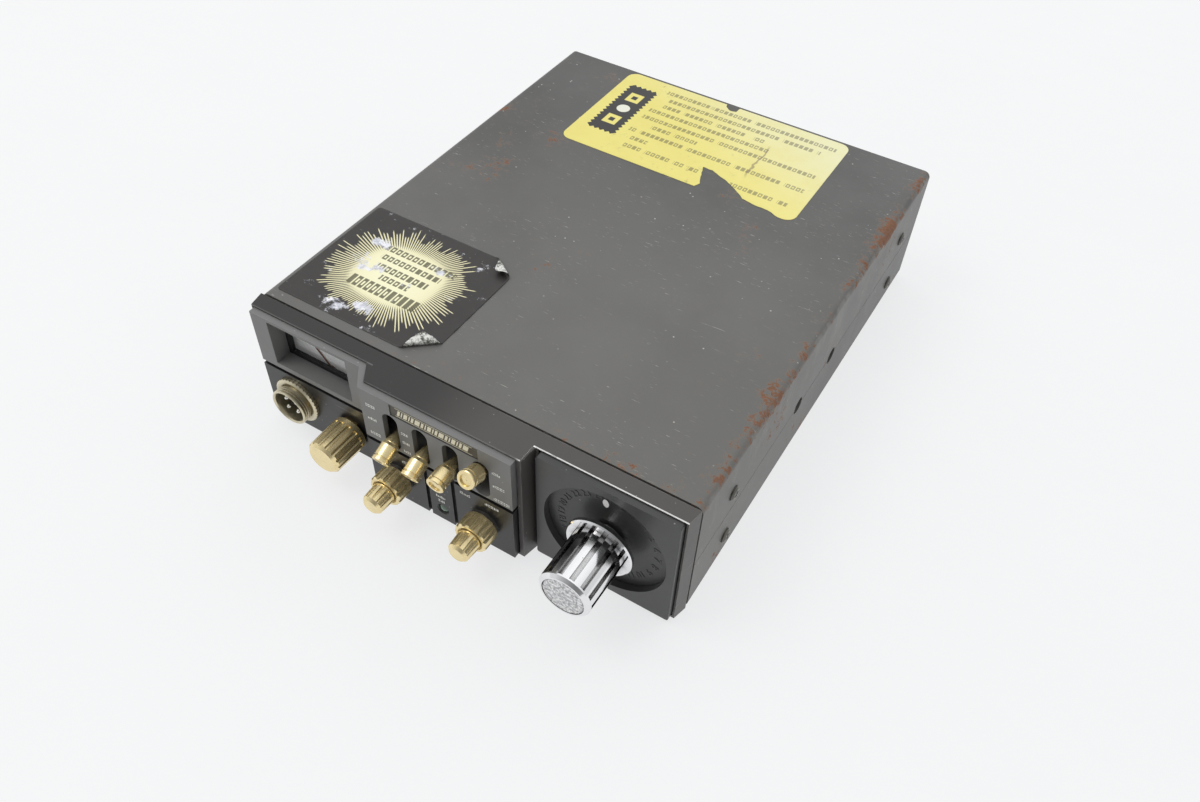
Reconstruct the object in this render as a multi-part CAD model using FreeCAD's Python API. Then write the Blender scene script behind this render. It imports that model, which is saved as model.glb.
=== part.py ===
import FreeCAD, Part
import math
import os

# Mobile transceiver, in millimetres.
# Frame: +X to the radio's right as the user faces it, +Y from the front to the rear, +Z up.
# Origin: middle of the bottom face, under the front edge of the covers.

# ---------------------------------------------------------------- case
case_width = 180.0
case_depth = 209.0
case_height = 56.0
sheet = 1.0                     # thickness of the steel covers
bend_radius = 2.8               # outside radius of the covers' long bends
seam_z = 25.95                  # height of the joint between the two covers
seam_gap = 0.3
clear = 0.1                     # gap between fixed neighbours
touch = 0.02                    # hairline between fixed parts that rest on each other
running = 0.05                  # radial clearance of everything that turns

frame_wall = 1.2                # chassis sheet
frame_half = case_width / 2 - sheet - 0.2
shelf_in = 74.0                 # inner edge of the shelves that carry the board
boss_deep = 3.0                 # screw bosses behind the side walls
frame_front = 2.2               # front face of the chassis front wall
frame_back = frame_front + frame_wall
frame_rear = 205.4
frame_low = 2.2
frame_high = case_height - 2.2
panel_thick = 1.6               # rear panel and circuit board
panel_face = frame_rear + clear + panel_thick
shelf_top = 25.1                # underside of the circuit board
board_top = shelf_top + panel_thick

screw_r = 1.5                   # M3 machine screws
screw_head_r = 2.85
screw_head_high = 1.3
cover_screw_y = (25.5, 185.5)
cover_screw_z = (12.0, 36.3)
rear_screw_x = 82.0
rear_screw_z = (10.0, 46.0)
board_screw_x = 79.5
board_screw_y = (44.0, 99.0, 190.0)
bracket_screw_r = 2.5           # M5 bolts of the mounting bracket
bracket_hole_r = 3.5            # opening for them in the covers
bracket_y = (83.0, 114.5)
speaker_y = 92.0
speaker_r = 38.5

# ---------------------------------------------------------------- front mouldings
bezel_rear = -0.8
bezel_front = -7.1              # beside the display and round the channel plate
bezel_middle_front = -14.5      # in front of the lever block
bezel_floor = -2.8
bezel_skin = 0.7                # top wall of the bezel
bezel_rise = 0.19               # how steeply the underside rises towards the front
left_pocket_low = 3.4
right_pocket_low = 2.2
display_front = -9.6            # face of the left-hand mouldings
middle_front = -17.2            # face of the lever block
facet_left = -37.1              # slanted face that joins the two
facet_right = -31.4
fascia_left = -87.5
fascia_right = 30.5
fascia_wall = 2.2
fascia_top = case_height - bezel_skin - 0.2
fascia_bottom = left_pocket_low + 0.2
groove_low = 29.2               # dark groove between the upper and the lower moulding
groove_high = 31.0
window = (-79.8, -43.8, 33.2, 53.7)     # display opening: left, right, bottom, top
strip_half = 18.0               # name strip over the levers
strip_low = 49.0
strip_high = 54.5
strip_pocket = 0.8

# ---------------------------------------------------------------- levers
middle_x = -0.35                # centre line of the lever block
lever_pitch = 12.5
lever_pivot_y = -5.0
lever_pivot_z = 39.85
lever_length = 21.6
lever_neck = 14.1               # from the pivot to the step behind the cap
lever_cap_r = 3.4
lever_rest = (-23.0, -23.0, -7.0, 21.5)     # degrees from level, of 23 each way
lever_slot_r = 3.25
lever_slot_half = 8.6
pivot_r = 1.0

# ---------------------------------------------------------------- rotary controls
knob_row_z = 15.8
shaft_r = 3.0
inner_shaft_r = 1.75
volume_x = -47.1
volume_bush_r = 3.5
volume_face = -26.5
dual_x = (middle_x - 18.5, middle_x + 18.5)
dual_bush_r = 4.5
collar_thick = 1.1
outer_face = -25.7
inner_face = -33.4
lamp_z = 9.4
lamp_r = 2.0

channel_x = 61.3
channel_plate_left = 34.9
channel_plate_right = 87.6
channel_plate_low = right_pocket_low + 0.2
channel_z = (channel_plate_low + fascia_top) / 2
channel_front = -9.8
channel_bush_r = 4.75
channel_face = -34.6
channel_grooves = 14
cap_r = 7.8
dish_r = 23.3
dish_deep = 2.9

# ---------------------------------------------------------------- sockets and meter
mic_x = -73.0
mic_z = 17.7
mic_thread_r = 7.9
mic_root_r = 7.45              # barrel at the bottom of its thread, and inside its nut
mic_bore_r = 6.7
mic_nut_front = display_front - 1.9
thread_relief = 0.6            # plain neck between a thread and the face behind it
mic_pin_r = 0.9

meter_x = (window[0] + window[1]) / 2
meter_lens_y = -1.2
meter_scale_y = 0.4
meter_lens_thick = 0.7
meter_rear = 25.0
meter_low = 27.5               # underside of the meter's housing behind the front wall
meter_pivot_z = 31.6
needle_length = 18.0
needle_staff_r = 0.6
needle_swing = 80.0

rear_socket_z = 34.0
antenna_x = -56.0
antenna_thread_r = 7.94
antenna_root_r = 7.49
antenna_bore_r = 5.4
antenna_body_r = 6.6
power_x = 52.0
power_half_x = 10.0
power_half_z = 6.5
power_pin_r = 1.2
jack_x = (9.0, 25.0)
jack_bush_r = 3.0
jack_bore_r = 1.8

FAR = 400.0                     # longer than anything in the radio


# ---------------------------------------------------------------- shape helpers
def vec(x, y, z):
    return FreeCAD.Vector(x, y, z)


def box(x0, x1, y0, y1, z0, z1):
    return Part.makeBox(x1 - x0, y1 - y0, z1 - z0, vec(x0, y0, z0))


def along_x(y, z, r, x0, x1):
    return Part.makeCylinder(r, x1 - x0, vec(x0, y, z), vec(1, 0, 0))


def along_y(x, z, r, y0, y1):
    return Part.makeCylinder(r, y1 - y0, vec(x, y0, z), vec(0, 1, 0))


def along_z(x, y, r, z0, z1):
    return Part.makeCylinder(r, z1 - z0, vec(x, y, z0), vec(0, 0, 1))


def plan_prism(points, z0, z1):
    """A plan outline, given as (x, y) corners, raised from z0 to z1."""
    corners = [vec(x, y, z0) for x, y in points]
    face = Part.Face(Part.makePolygon(corners + corners[:1]))
    return face.extrude(vec(0, 0, z1 - z0))


def side_prism(points, x0, x1):
    """A side outline, given as (y, z) corners, extended from x0 to x1."""
    corners = [vec(x0, y, z) for y, z in points]
    face = Part.Face(Part.makePolygon(corners + corners[:1]))
    return face.extrude(vec(x1 - x0, 0, 0))


def turned(profile, x, z):
    """A body of revolution about the Y direction through (x, z); the profile is (radius, y)."""
    corners = [vec(x + r, y, z) for r, y in profile]
    face = Part.Face(Part.makePolygon(corners + corners[:1]))
    return face.revolve(vec(x, 0, z), vec(0, 1, 0), 360)


def turned_up(profile, x, y):
    """A body of revolution about the Z direction through (x, y); the profile is (radius, z)."""
    corners = [vec(x + r, y, z) for r, z in profile]
    face = Part.Face(Part.makePolygon(corners + corners[:1]))
    return face.revolve(vec(x, y, 0), vec(0, 0, 1), 360)


def ring(x, z, inner_r, outer_r, y0, y1):
    return along_y(x, z, outer_r, y0, y1).cut(along_y(x, z, inner_r, y0 - 1, y1 + 1))


def upright_slot(x, z, r, half, y0, y1):
    """An obround opening, long in Z, with its round ends on the centre line."""
    reach = half - r
    ends = [along_y(x, z - reach, r, y0, y1), along_y(x, z + reach, r, y0, y1)]
    return box(x - r, x + r, y0, y1, z - reach, z + reach).fuse(ends)


def joined(shapes):
    return shapes[0].fuse(shapes[1:]).removeSplitter()


def straight_edges(shape, direction):
    found = []
    for edge in shape.Edges:
        if isinstance(edge.Curve, Part.Line):
            if abs(abs(edge.Curve.Direction.dot(direction)) - 1) < 1e-6:
                found.append(edge)
    return found


def rounded_box(x0, x1, y0, y1, z0, z1, r, direction):
    """A box whose four edges along one direction are rounded."""
    block = box(x0, x1, y0, y1, z0, z1)
    return block.makeFillet(r, straight_edges(block, direction))


def turned_round(shape, x, z, count, offset=0.0):
    """Copies of a cutter spaced evenly about the Y direction through (x, z)."""
    copies = []
    for index in range(count):
        copy = shape.copy()
        copy.rotate(vec(x, 0, z), vec(0, 1, 0), offset + index * 360 / count)
        copies.append(copy)
    return copies


def fluted(blank, x, z, count, groove_r, centre_r, y0, y1):
    """Round-bottomed flutes cut along a knob."""
    cutter = along_y(x + centre_r, z, groove_r, y0, y1)
    return blank.cut(turned_round(cutter, x, z, count, 90 / count))


def save(name, shapes):
    solids = shapes if isinstance(shapes, list) else [shapes]
    shape = solids[0] if len(solids) == 1 else Part.makeCompound(solids)
    shape.exportStep(os.path.join("parts", name + ".step"))


def pan_screw(length):
    """An M3 pan-head screw: head at the origin pointing up +Z, shank down -Z, cross recess."""
    crown = 0.7
    recess_deep = 0.85
    recess_half = 1.7
    blade_half = 0.35
    head = [(0, 0), (screw_head_r, 0), (screw_head_r, screw_head_high - crown),
            (screw_head_r - crown, screw_head_high - 0.1), (0.6, screw_head_high), (0, screw_head_high)]
    shape = turned_up(head, 0, 0).fuse(along_z(0, 0, screw_r, -length, 0.2))
    recess_low = screw_head_high - recess_deep
    slot = box(-recess_half, recess_half, -blade_half, blade_half, recess_low, FAR)
    cross = slot.fuse(box(-blade_half, blade_half, -recess_half, recess_half, recess_low, FAR))
    return shape.cut(cross)


def placed_screw(length, at, direction):
    screw = pan_screw(length)
    screw.Placement = FreeCAD.Placement(at, FreeCAD.Rotation(vec(0, 0, 1), direction))
    return screw


# ---------------------------------------------------------------- case
def case_tube():
    """Both covers as one tube, before the side seam parts them."""
    half = case_width / 2
    along = vec(0, 1, 0)
    outer = rounded_box(-half, half, 0, case_depth, 0, case_height, bend_radius, along)
    inner = rounded_box(-half + sheet, half - sheet, -1, case_depth + 1, sheet, case_height - sheet,
                        bend_radius - sheet, along)
    tube = outer.cut(inner)
    holes = []
    for y in cover_screw_y:
        for z in cover_screw_z:
            holes.append(along_x(y, z, screw_r + clear, -FAR, FAR))
    for y in bracket_y:
        holes.append(along_x(y, seam_z, bracket_hole_r, -FAR, FAR))
    return tube.cut(holes)


def top_cover():
    return case_tube().common(box(-FAR, FAR, -FAR, FAR, seam_z + seam_gap / 2, FAR))


def bottom_cover():
    lower = case_tube().common(box(-FAR, FAR, -FAR, FAR, -FAR, seam_z - seam_gap / 2))
    slots = []
    slot_r = 1.5
    pitch = 7.0
    for index in range(-4, 5):
        y = speaker_y + index * pitch
        half = math.sqrt(34.0 ** 2 - (index * pitch) ** 2) - 4.0
        slots.append(box(-half, half, y - slot_r, y + slot_r, -1, sheet + 1))
        slots.append(along_z(-half, y, slot_r, -1, sheet + 1))
        slots.append(along_z(half, y, slot_r, -1, sheet + 1))
    return lower.cut(slots)


def bolt_notch(side, y, low, high):
    """Room for the end of a bracket bolt, in the shelf and in the edge of the board."""
    half = bracket_screw_r + 1.0
    x0, x1 = sorted((side * (shelf_in - 1), side * (frame_half - frame_wall - boss_deep)))
    return box(x0, x1, y - half, y + half, low, high)


def chassis():
    """Folded frame: two side walls with lips and shelves, a front wall and rear tabs."""
    outside = frame_half
    inside = outside - frame_wall
    lip = 8.0
    shelf_y = (34.0, 198.0)
    tab_in = 76.0
    pieces = [box(-inside - 0.1, inside + 0.1, frame_front, frame_back, frame_low, frame_high)]
    holes = []
    for side in (-1, 1):
        wall_x = sorted((side * inside, side * outside))
        lip_x = sorted((side * (inside - lip), side * outside))
        shelf_x = sorted((side * shelf_in, side * outside))
        tab_x = sorted((side * tab_in, side * outside))
        boss_x = sorted((side * (inside - boss_deep), side * outside))
        pieces.append(box(*wall_x, frame_front, frame_rear, frame_low, frame_high))
        pieces.append(box(*lip_x, frame_front, frame_rear, frame_low, frame_low + frame_wall))
        pieces.append(box(*lip_x, frame_front, frame_rear, frame_high - frame_wall, frame_high))
        pieces.append(box(*shelf_x, *shelf_y, shelf_top - frame_wall, shelf_top))
        for z in rear_screw_z:
            pieces.append(box(*tab_x, frame_rear - frame_wall, frame_rear, z - 5, z + 5))
            holes.append(along_y(side * rear_screw_x, z, screw_r + running, 190, FAR))
        for y in cover_screw_y:
            for z in cover_screw_z:
                pieces.append(along_x(y, z, 3.2, *boss_x))
                holes.append(along_x(y, z, screw_r + running, -FAR, FAR))
        for y in bracket_y:
            pieces.append(along_x(y, seam_z, 4.6, *boss_x))
            holes.append(along_x(y, seam_z, bracket_screw_r, -FAR, FAR))
            holes.append(bolt_notch(side, y, shelf_top - frame_wall - 1, shelf_top + 1))
        for y in board_screw_y:
            holes.append(along_z(side * board_screw_x, y, screw_r + running, shelf_top - 5,
                                 shelf_top + 1))
    holes += front_wall_openings()
    meter_side = 3.2
    holes.append(box(window[0] - meter_side, window[1] + meter_side, frame_front - 1, meter_rear + 1,
                     meter_low - 0.6, FAR))
    return joined(pieces).cut(holes)


def front_wall_openings():
    low, high = frame_front - 1, frame_back + 1
    first = middle_x - 2 * lever_pitch - 1
    last = middle_x + 2 * lever_pitch + 1
    openings = [
        box(first, last, low, high, lever_pivot_z - 9, lever_pivot_z + 9),
        along_y(mic_x, mic_z, 8.6, low, high),
        along_y(volume_x, knob_row_z, volume_bush_r + clear, low, high),
        along_y(channel_x, channel_z, channel_bush_r + clear, low, high),
    ]
    for x in dual_x:
        openings.append(along_y(x, knob_row_z, dual_bush_r + clear, low, high))
    return openings


def rear_panel():
    half = case_width / 2 - sheet - 0.5
    plate = rounded_box(-half, half, frame_rear + clear, panel_face, frame_low - 0.2, frame_high + 0.2, 1.5,
                        vec(0, 1, 0))
    holes = [
        along_y(antenna_x, rear_socket_z, antenna_body_r + clear, 190, FAR),
        box(power_x - power_half_x - clear, power_x + power_half_x + clear, 190, FAR,
            rear_socket_z - power_half_z - clear, rear_socket_z + power_half_z + clear),
    ]
    for x in jack_x:
        holes.append(along_y(x, rear_socket_z, jack_bush_r + clear, 190, FAR))
    for x in (-rear_screw_x, rear_screw_x):
        for z in rear_screw_z:
            holes.append(along_y(x, z, screw_r + clear, 190, FAR))
    return plate.cut(holes)


def machine_screws():
    """All the M3 pan-head screws: covers, rear panel and circuit board."""
    length = 6.0
    screws = []
    half = case_width / 2
    for y in cover_screw_y:
        for z in cover_screw_z:
            screws.append(placed_screw(length, vec(half, y, z), vec(1, 0, 0)))
            screws.append(placed_screw(length, vec(-half, y, z), vec(-1, 0, 0)))
    for x in (-rear_screw_x, rear_screw_x):
        for z in rear_screw_z:
            screws.append(placed_screw(length, vec(x, panel_face, z), vec(0, 1, 0)))
    for x in (-board_screw_x, board_screw_x):
        for y in board_screw_y:
            screws.append(placed_screw(length, vec(x, y, board_top), vec(0, 0, 1)))
    return screws


# ---------------------------------------------------------------- front mouldings
def fascia_outline(inset, rear):
    """Plan of the left and middle mouldings, with every front face moved in by inset."""
    turn = math.atan2(display_front - middle_front, facet_right - facet_left)
    shift = inset * math.tan(turn / 2)
    return [
        (fascia_left + inset, rear),
        (fascia_left + inset, display_front + inset),
        (facet_left + shift, display_front + inset),
        (facet_right + shift, middle_front + inset),
        (fascia_right - inset, middle_front + inset),
        (fascia_right - inset, rear),
    ]


def fascia_shell(z0, z1, cap):
    """A hollow moulding, open at the back, with top and bottom walls of thickness cap."""
    rear = bezel_floor - clear
    outer = plan_prism(fascia_outline(0, rear), z0, z1)
    hollow = plan_prism(fascia_outline(fascia_wall, rear + 5), z0 + cap, z1 - cap)
    return outer.cut(hollow)


def bezel_outline():
    """Plan of the bezel: its sides taper forwards and its middle stands out with the levers."""
    half = case_width / 2
    return [
        (-half + 0.2, bezel_rear), (-half + 1.4, bezel_front),
        (facet_left + 1.5, bezel_front), (facet_right + 0.5, bezel_middle_front),
        (fascia_right + 2.1, bezel_middle_front), (fascia_right + 2.9, bezel_front),
        (half - 1.4, bezel_front), (half - 0.2, bezel_rear),
    ]


def groove_bar():
    """Dark bar that fills the gap between the upper and the lower moulding."""
    side = 1.3
    turn = math.atan2(display_front - middle_front, facet_right - facet_left)
    shift = side * math.tan(turn / 2)
    outline = [
        (fascia_left - 0.5, bezel_floor + 0.2), (fascia_left - 0.5, display_front + side),
        (facet_left + shift, display_front + side), (facet_right + shift, middle_front + side),
        (fascia_right - side + 0.5, middle_front + side), (fascia_right + 0.5, bezel_floor + 0.2),
    ]
    return plan_prism(outline, groove_low + clear, groove_high - clear)


def front_bezel():
    """Open-fronted tray that frames the mouldings; its floor is the mounting wall."""
    half = case_width / 2
    tray = plan_prism(bezel_outline(), 0, case_height)
    rim = []
    for edge in tray.Edges:
        in_front = max(v.Y for v in edge.Vertexes) < bezel_rear - 1
        on_top = min(v.Z for v in edge.Vertexes) > case_height - 1
        if in_front and on_top:
            rim.append(edge)
    tray = tray.makeChamfer(0.25, rim)
    reach = 20.0
    slope = [(bezel_rear, 0), (bezel_rear - reach, bezel_rise * reach), (bezel_rear - reach, -5),
             (bezel_rear, -5)]
    underside = side_prism(slope, -half - 1, half + 1)
    pocket_half = half - 2.1
    high = case_height - bezel_skin
    left_pocket = box(-pocket_half, fascia_right + 0.4, -50, bezel_floor, left_pocket_low, high)
    right_pocket = box(fascia_right + 3.8, pocket_half, -50, bezel_floor, right_pocket_low, high)
    tray = tray.cut([underside, left_pocket, right_pocket])
    return joined([tray, groove_bar()]).cut(bezel_floor_openings())


def bezel_floor_openings():
    low, high = bezel_floor - 0.5, bezel_rear + 1
    first = middle_x - 2 * lever_pitch
    last = middle_x + 2 * lever_pitch
    openings = [
        box(window[0] - 2.5, window[1] + 2.5, low, high, groove_high, window[3] + 0.9),
        box(first, last, low, high, groove_high, lever_pivot_z + 8.7),
        along_y(mic_x, mic_z, mic_thread_r + clear, low, high),
        along_y(volume_x, knob_row_z, volume_bush_r + clear, low, high),
        along_y(channel_x, channel_z, 8.0, low, high),
    ]
    for x in dual_x:
        openings.append(along_y(x, knob_row_z, dual_bush_r + clear, low, high))
    return openings


def upper_fascia():
    """Display surround, slanted face and lever block in one moulding."""
    left, right, bottom, top = window
    tunnel_wall = 2.0
    shell = fascia_shell(groove_high, fascia_top, 1.4)
    tunnel = box(left - tunnel_wall, right + tunnel_wall, display_front + 1, bezel_floor - clear,
                 groove_high, fascia_top)
    cuts = [box(left, right, -50, 10, bottom, top)]
    for x in lever_centres():
        cuts.append(upright_slot(x, lever_pivot_z, lever_slot_r, lever_slot_half, -50, -10))
    cuts.append(box(middle_x - strip_half, middle_x + strip_half, -50, middle_front + strip_pocket,
                    strip_low, strip_high))
    return joined([shell, tunnel]).cut(cuts)


def lever_centres():
    return [middle_x + (index - 1.5) * lever_pitch for index in range(4)]


def name_strip():
    """Thin plate let into the lever block over the levers."""
    left, right = middle_x - strip_half, middle_x + strip_half
    back = middle_front + strip_pocket - touch
    return box(left + clear, right - clear, back - 0.5, back, strip_low + clear, strip_high - clear)


def lower_fascia():
    """Socket panel, control panel and lamp panel in one moulding, parted by two grooves."""
    shell = fascia_shell(fascia_bottom, groove_low, 1.4)
    cuts = [
        along_y(mic_x, mic_z, mic_thread_r + clear, -50, 0),
        along_y(volume_x, knob_row_z, volume_bush_r + clear, -50, 0),
        along_y(middle_x, lamp_z, lamp_r + clear, -50, 0),
        turned([(0, middle_front - 0.5), (lamp_r + 1.0, middle_front - 0.5),
                (lamp_r + clear, middle_front + 0.6), (0, middle_front + 0.6)], middle_x, lamp_z),
    ]
    for x in dual_x:
        cuts.append(along_y(x, knob_row_z, dual_bush_r + clear, -50, 0))
    for side in (-1, 1):
        groove = middle_x + side * 5.85
        cuts.append(box(groove - 0.8, groove + 0.8, -50, middle_front + 1.1, -1, groove_low + 1))
    return shell.cut(cuts)


def channel_plate():
    """Plate over the channel dial, open behind, with the round dial opening."""
    rear = bezel_floor - clear
    outer = rounded_box(channel_plate_left, channel_plate_right, channel_front, rear,
                        channel_plate_low, fascia_top, 1.0, vec(0, 1, 0))
    wall = dish_deep - 0.2
    side = 1.0
    hollow = box(channel_plate_left + side, channel_plate_right - side, channel_front + wall, 10,
                 channel_plate_low + side, fascia_top - side)
    return outer.cut([hollow, along_y(channel_x, channel_z, dish_r, -50, 0)])


# ---------------------------------------------------------------- microphone socket
def mic_socket_shell():
    """Threaded barrel with a locating key inside its mouth."""
    mouth = -15.5
    rear = 1.6
    pitch = 1.0
    depth = mic_thread_r - mic_root_r
    profile = [(mic_bore_r, rear), (mic_bore_r, mouth + 0.5), (mic_bore_r + 0.4, mouth),
               (mic_thread_r - 0.4, mouth), (mic_thread_r, mouth + 0.4)]
    y = mouth + 0.8
    while y + pitch < mic_nut_front - thread_relief:
        profile += [(mic_thread_r, y), (mic_thread_r - depth, y + 0.3), (mic_thread_r - depth, y + 0.4),
                    (mic_thread_r, y + 0.7)]
        y += pitch
    profile += [(mic_thread_r, mic_nut_front - thread_relief),
                (mic_root_r, mic_nut_front - thread_relief), (mic_root_r, rear)]
    key = box(mic_x - 1.0, mic_x + 1.0, mouth + 1.2, -9.5, mic_z + mic_bore_r - 1.3,
              mic_z + mic_bore_r + 0.3)
    return joined([turned(profile, mic_x, mic_z), key])


def mic_socket_nut():
    """Round knurled nut that clamps the barrel to the moulding."""
    outer = 9.9
    front = mic_nut_front
    back = display_front - touch
    blank = turned([(mic_root_r + running, back), (mic_root_r + running, front),
                    (outer - 0.9, front), (outer, front + 0.7), (outer, back)], mic_x, mic_z)
    return fluted(blank, mic_x, mic_z, 36, 0.35, outer + 0.1, -50, 0)


def mic_socket_insert():
    face = -9.2
    keyway = box(mic_x - 1.2, mic_x + 1.2, -50, -9.0, mic_z + mic_bore_r - 1.6, mic_z + mic_bore_r + 1)
    plug = along_y(mic_x, mic_z, mic_bore_r - running, face, 1.4)
    holes = [along_y(x, z, mic_pin_r, -50, 50) for x, z in mic_pin_places()]
    return plug.cut([keyway] + holes)


def mic_pin_places():
    circle = 3.4
    places = []
    for index in range(4):
        angle = math.radians(45 + 90 * index)
        places.append((mic_x + circle * math.cos(angle), mic_z + circle * math.sin(angle)))
    return places


def mic_socket_pins():
    pins = []
    for x, z in mic_pin_places():
        tip = -13.8
        r = mic_pin_r - touch
        pins.append(turned([(0, tip), (r - 0.4, tip), (r, tip + 0.6), (r, 5.0), (0, 5.0)], x, z))
    return pins


# ---------------------------------------------------------------- rotary controls
def pot_body(x, bush_r, bush_front, body_deep, bore):
    """A potentiometer: can, threaded bush and three lugs, bored for its shafts."""
    front = frame_back + running
    can_r = 8.0
    pieces = [along_y(x, knob_row_z, can_r, front, front + body_deep),
              along_y(x, knob_row_z, bush_r, bush_front, front + 1)]
    for index in (-1, 0, 1):
        centre = x + index * 4.0
        pieces.append(box(centre - 0.8, centre + 0.8, front + 3, front + 3.6, knob_row_z - 12.0,
                          knob_row_z - 6))
    body = joined(pieces)
    for r, depth in bore:
        body = body.cut(along_y(x, knob_row_z, r, -60, front + depth))
    return body


def volume_control():
    return pot_body(volume_x, volume_bush_r, display_front - 2.8, 8.0, [(shaft_r + running, 6.2)])


def volume_nut():
    """Brass hexagon nut on the volume control's bush, inside the back of the knob."""
    front = display_front - 2.0
    across_flats = 10.0
    corner_r = across_flats / 2 / math.cos(math.radians(30))
    corners = []
    for index in range(6):
        angle = math.radians(60 * index)
        corners.append(vec(volume_x + corner_r * math.cos(angle), front,
                           knob_row_z + corner_r * math.sin(angle)))
    face = Part.Face(Part.makePolygon(corners + corners[:1]))
    blank = face.extrude(vec(0, display_front - touch - front, 0))
    return blank.cut(along_y(volume_x, knob_row_z, volume_bush_r + running, -50, 50))


def volume_shaft():
    return along_y(volume_x, knob_row_z, shaft_r, volume_face + 2.5, frame_back + 6.0)


def volume_knob():
    """Fluted turned knob with a plain rear collar, a bevelled face and a hollow back."""
    r = 7.25
    rear = display_front - 0.8
    blank = turned([(0, volume_face), (r - 1.5, volume_face), (r - 0.2, volume_face + 1.3),
                    (r, rear - 2.6), (r, rear - 0.5), (r - 0.5, rear), (0, rear)], volume_x, knob_row_z)
    blank = fluted(blank, volume_x, knob_row_z, 14, 0.95, r + 0.3, -60, rear - 2.4)
    hollow = along_y(volume_x, knob_row_z, 6.0, rear - 2.9, 0)
    bore = along_y(volume_x, knob_row_z, shaft_r + touch, volume_face + 2.4, 0)
    return blank.cut([hollow, bore])


def dual_controls():
    bore = [(shaft_r + running, 6.2), (inner_shaft_r + running, 11.0)]
    return [pot_body(x, dual_bush_r, middle_front - collar_thick, 12.0, bore) for x in dual_x]


def dual_collars():
    """Black round nuts on the two dual controls' bushes."""
    front, back = middle_front - collar_thick, middle_front - touch
    return [ring(x, knob_row_z, dual_bush_r + running, 5.9, front, back) for x in dual_x]


def outer_shaft(x):
    return ring(x, knob_row_z, inner_shaft_r + running, shaft_r, outer_face + 1.2, frame_back + 6.0)


def inner_shaft(x):
    return along_y(x, knob_row_z, inner_shaft_r, inner_face + 2.5, frame_back + 10.8)


def outer_knob(x):
    """Scalloped ring knob with a recess round the inner knob."""
    r = 6.6
    rear = middle_front - collar_thick - 0.2
    blank = turned([(0, outer_face), (r - 0.5, outer_face), (r, outer_face + 0.5),
                    (r, rear - 0.4), (r - 0.4, rear), (0, rear)], x, knob_row_z)
    blank = fluted(blank, x, knob_row_z, 12, 1.5, r + 0.95, -60, 0)
    recess = along_y(x, knob_row_z, 5.15, outer_face - 1, outer_face + 1.0)
    return blank.cut([recess, along_y(x, knob_row_z, shaft_r + touch, -60, 0)])


def inner_knob(x):
    """Slightly tapered fluted knob with a bevelled face."""
    rear = outer_face + 0.7
    blank = turned([(0, inner_face), (3.1, inner_face), (4.15, inner_face + 1.0),
                    (4.6, rear), (0, rear)], x, knob_row_z)
    blank = fluted(blank, x, knob_row_z, 12, 0.7, 4.75, inner_face - 1, outer_face - 0.7)
    return blank.cut(along_y(x, knob_row_z, inner_shaft_r + touch, inner_face + 2.4, 0))


# ---------------------------------------------------------------- channel selector
def channel_knob():
    """Chromed knob: skirt disc, body with flat-bottomed grooves and a pocket for the cap."""
    r = 9.75
    skirt_r = 12.6
    skirt_front, skirt_rear = -13.5, -11.7
    blank = turned([(0, channel_face), (r - 1.2, channel_face), (r - 0.1, channel_face + 1.1),
                    (r, skirt_front), (skirt_r - 0.5, skirt_front), (skirt_r, skirt_front + 0.5),
                    (skirt_r, skirt_rear), (5.5, skirt_rear), (5.5, -7.1), (0, -7.1)],
                   channel_x, channel_z)
    groove = box(channel_x + 8.45, channel_x + 12, channel_face + 1.7, skirt_front, channel_z - 0.95,
                 channel_z + 0.95)
    grooves = turned_round(groove, channel_x, channel_z, channel_grooves)
    pocket = along_y(channel_x, channel_z, cap_r + clear, -60, channel_face + 0.8)
    hole = along_y(channel_x, channel_z, shaft_r + touch, channel_face + 4.0, 0)
    return blank.cut(grooves + [pocket, hole])


def channel_knob_cap():
    front, rear = channel_face + 0.1, channel_face + 0.78
    return turned([(0, front), (cap_r - 0.3, front), (cap_r, front + 0.25), (cap_r, rear), (0, rear)],
                  channel_x, channel_z)


def channel_dial():
    """Shallow dished disc with a hub, turning behind the round opening."""
    front = channel_front + dish_deep
    r = dish_r + 0.5
    return turned([(shaft_r + touch, front + 0.6), (7.0, front + 0.6), (r, front), (r, front + 1.2),
                   (6.0, front + 1.8), (6.0, bezel_floor - 0.3), (shaft_r + touch, bezel_floor - 0.3)],
                  channel_x, channel_z)


def channel_shaft():
    return along_y(channel_x, channel_z, shaft_r, channel_face + 4.1, frame_back + 12.0)


def channel_switch():
    """Rotary switch: bush, clicker plate and three wafers on two tie bars."""
    front = frame_back + running
    pieces = [along_y(channel_x, channel_z, channel_bush_r, bezel_rear - 1.5, front + 1),
              along_y(channel_x, channel_z, 6.0, front, front + 19)]
    pieces.append(along_y(channel_x, channel_z, 15.0, front, front + 2))
    for index in range(3):
        wafer = front + 5 + index * 6
        pieces.append(along_y(channel_x, channel_z, 15.0, wafer, wafer + 1.6))
    for side in (-1, 1):
        pieces.append(along_y(channel_x + side * 11.5, channel_z, 1.5, front, front + 20))
    bore = along_y(channel_x, channel_z, shaft_r + running, -20, front + 12.4)
    return joined(pieces).cut(bore)


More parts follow.
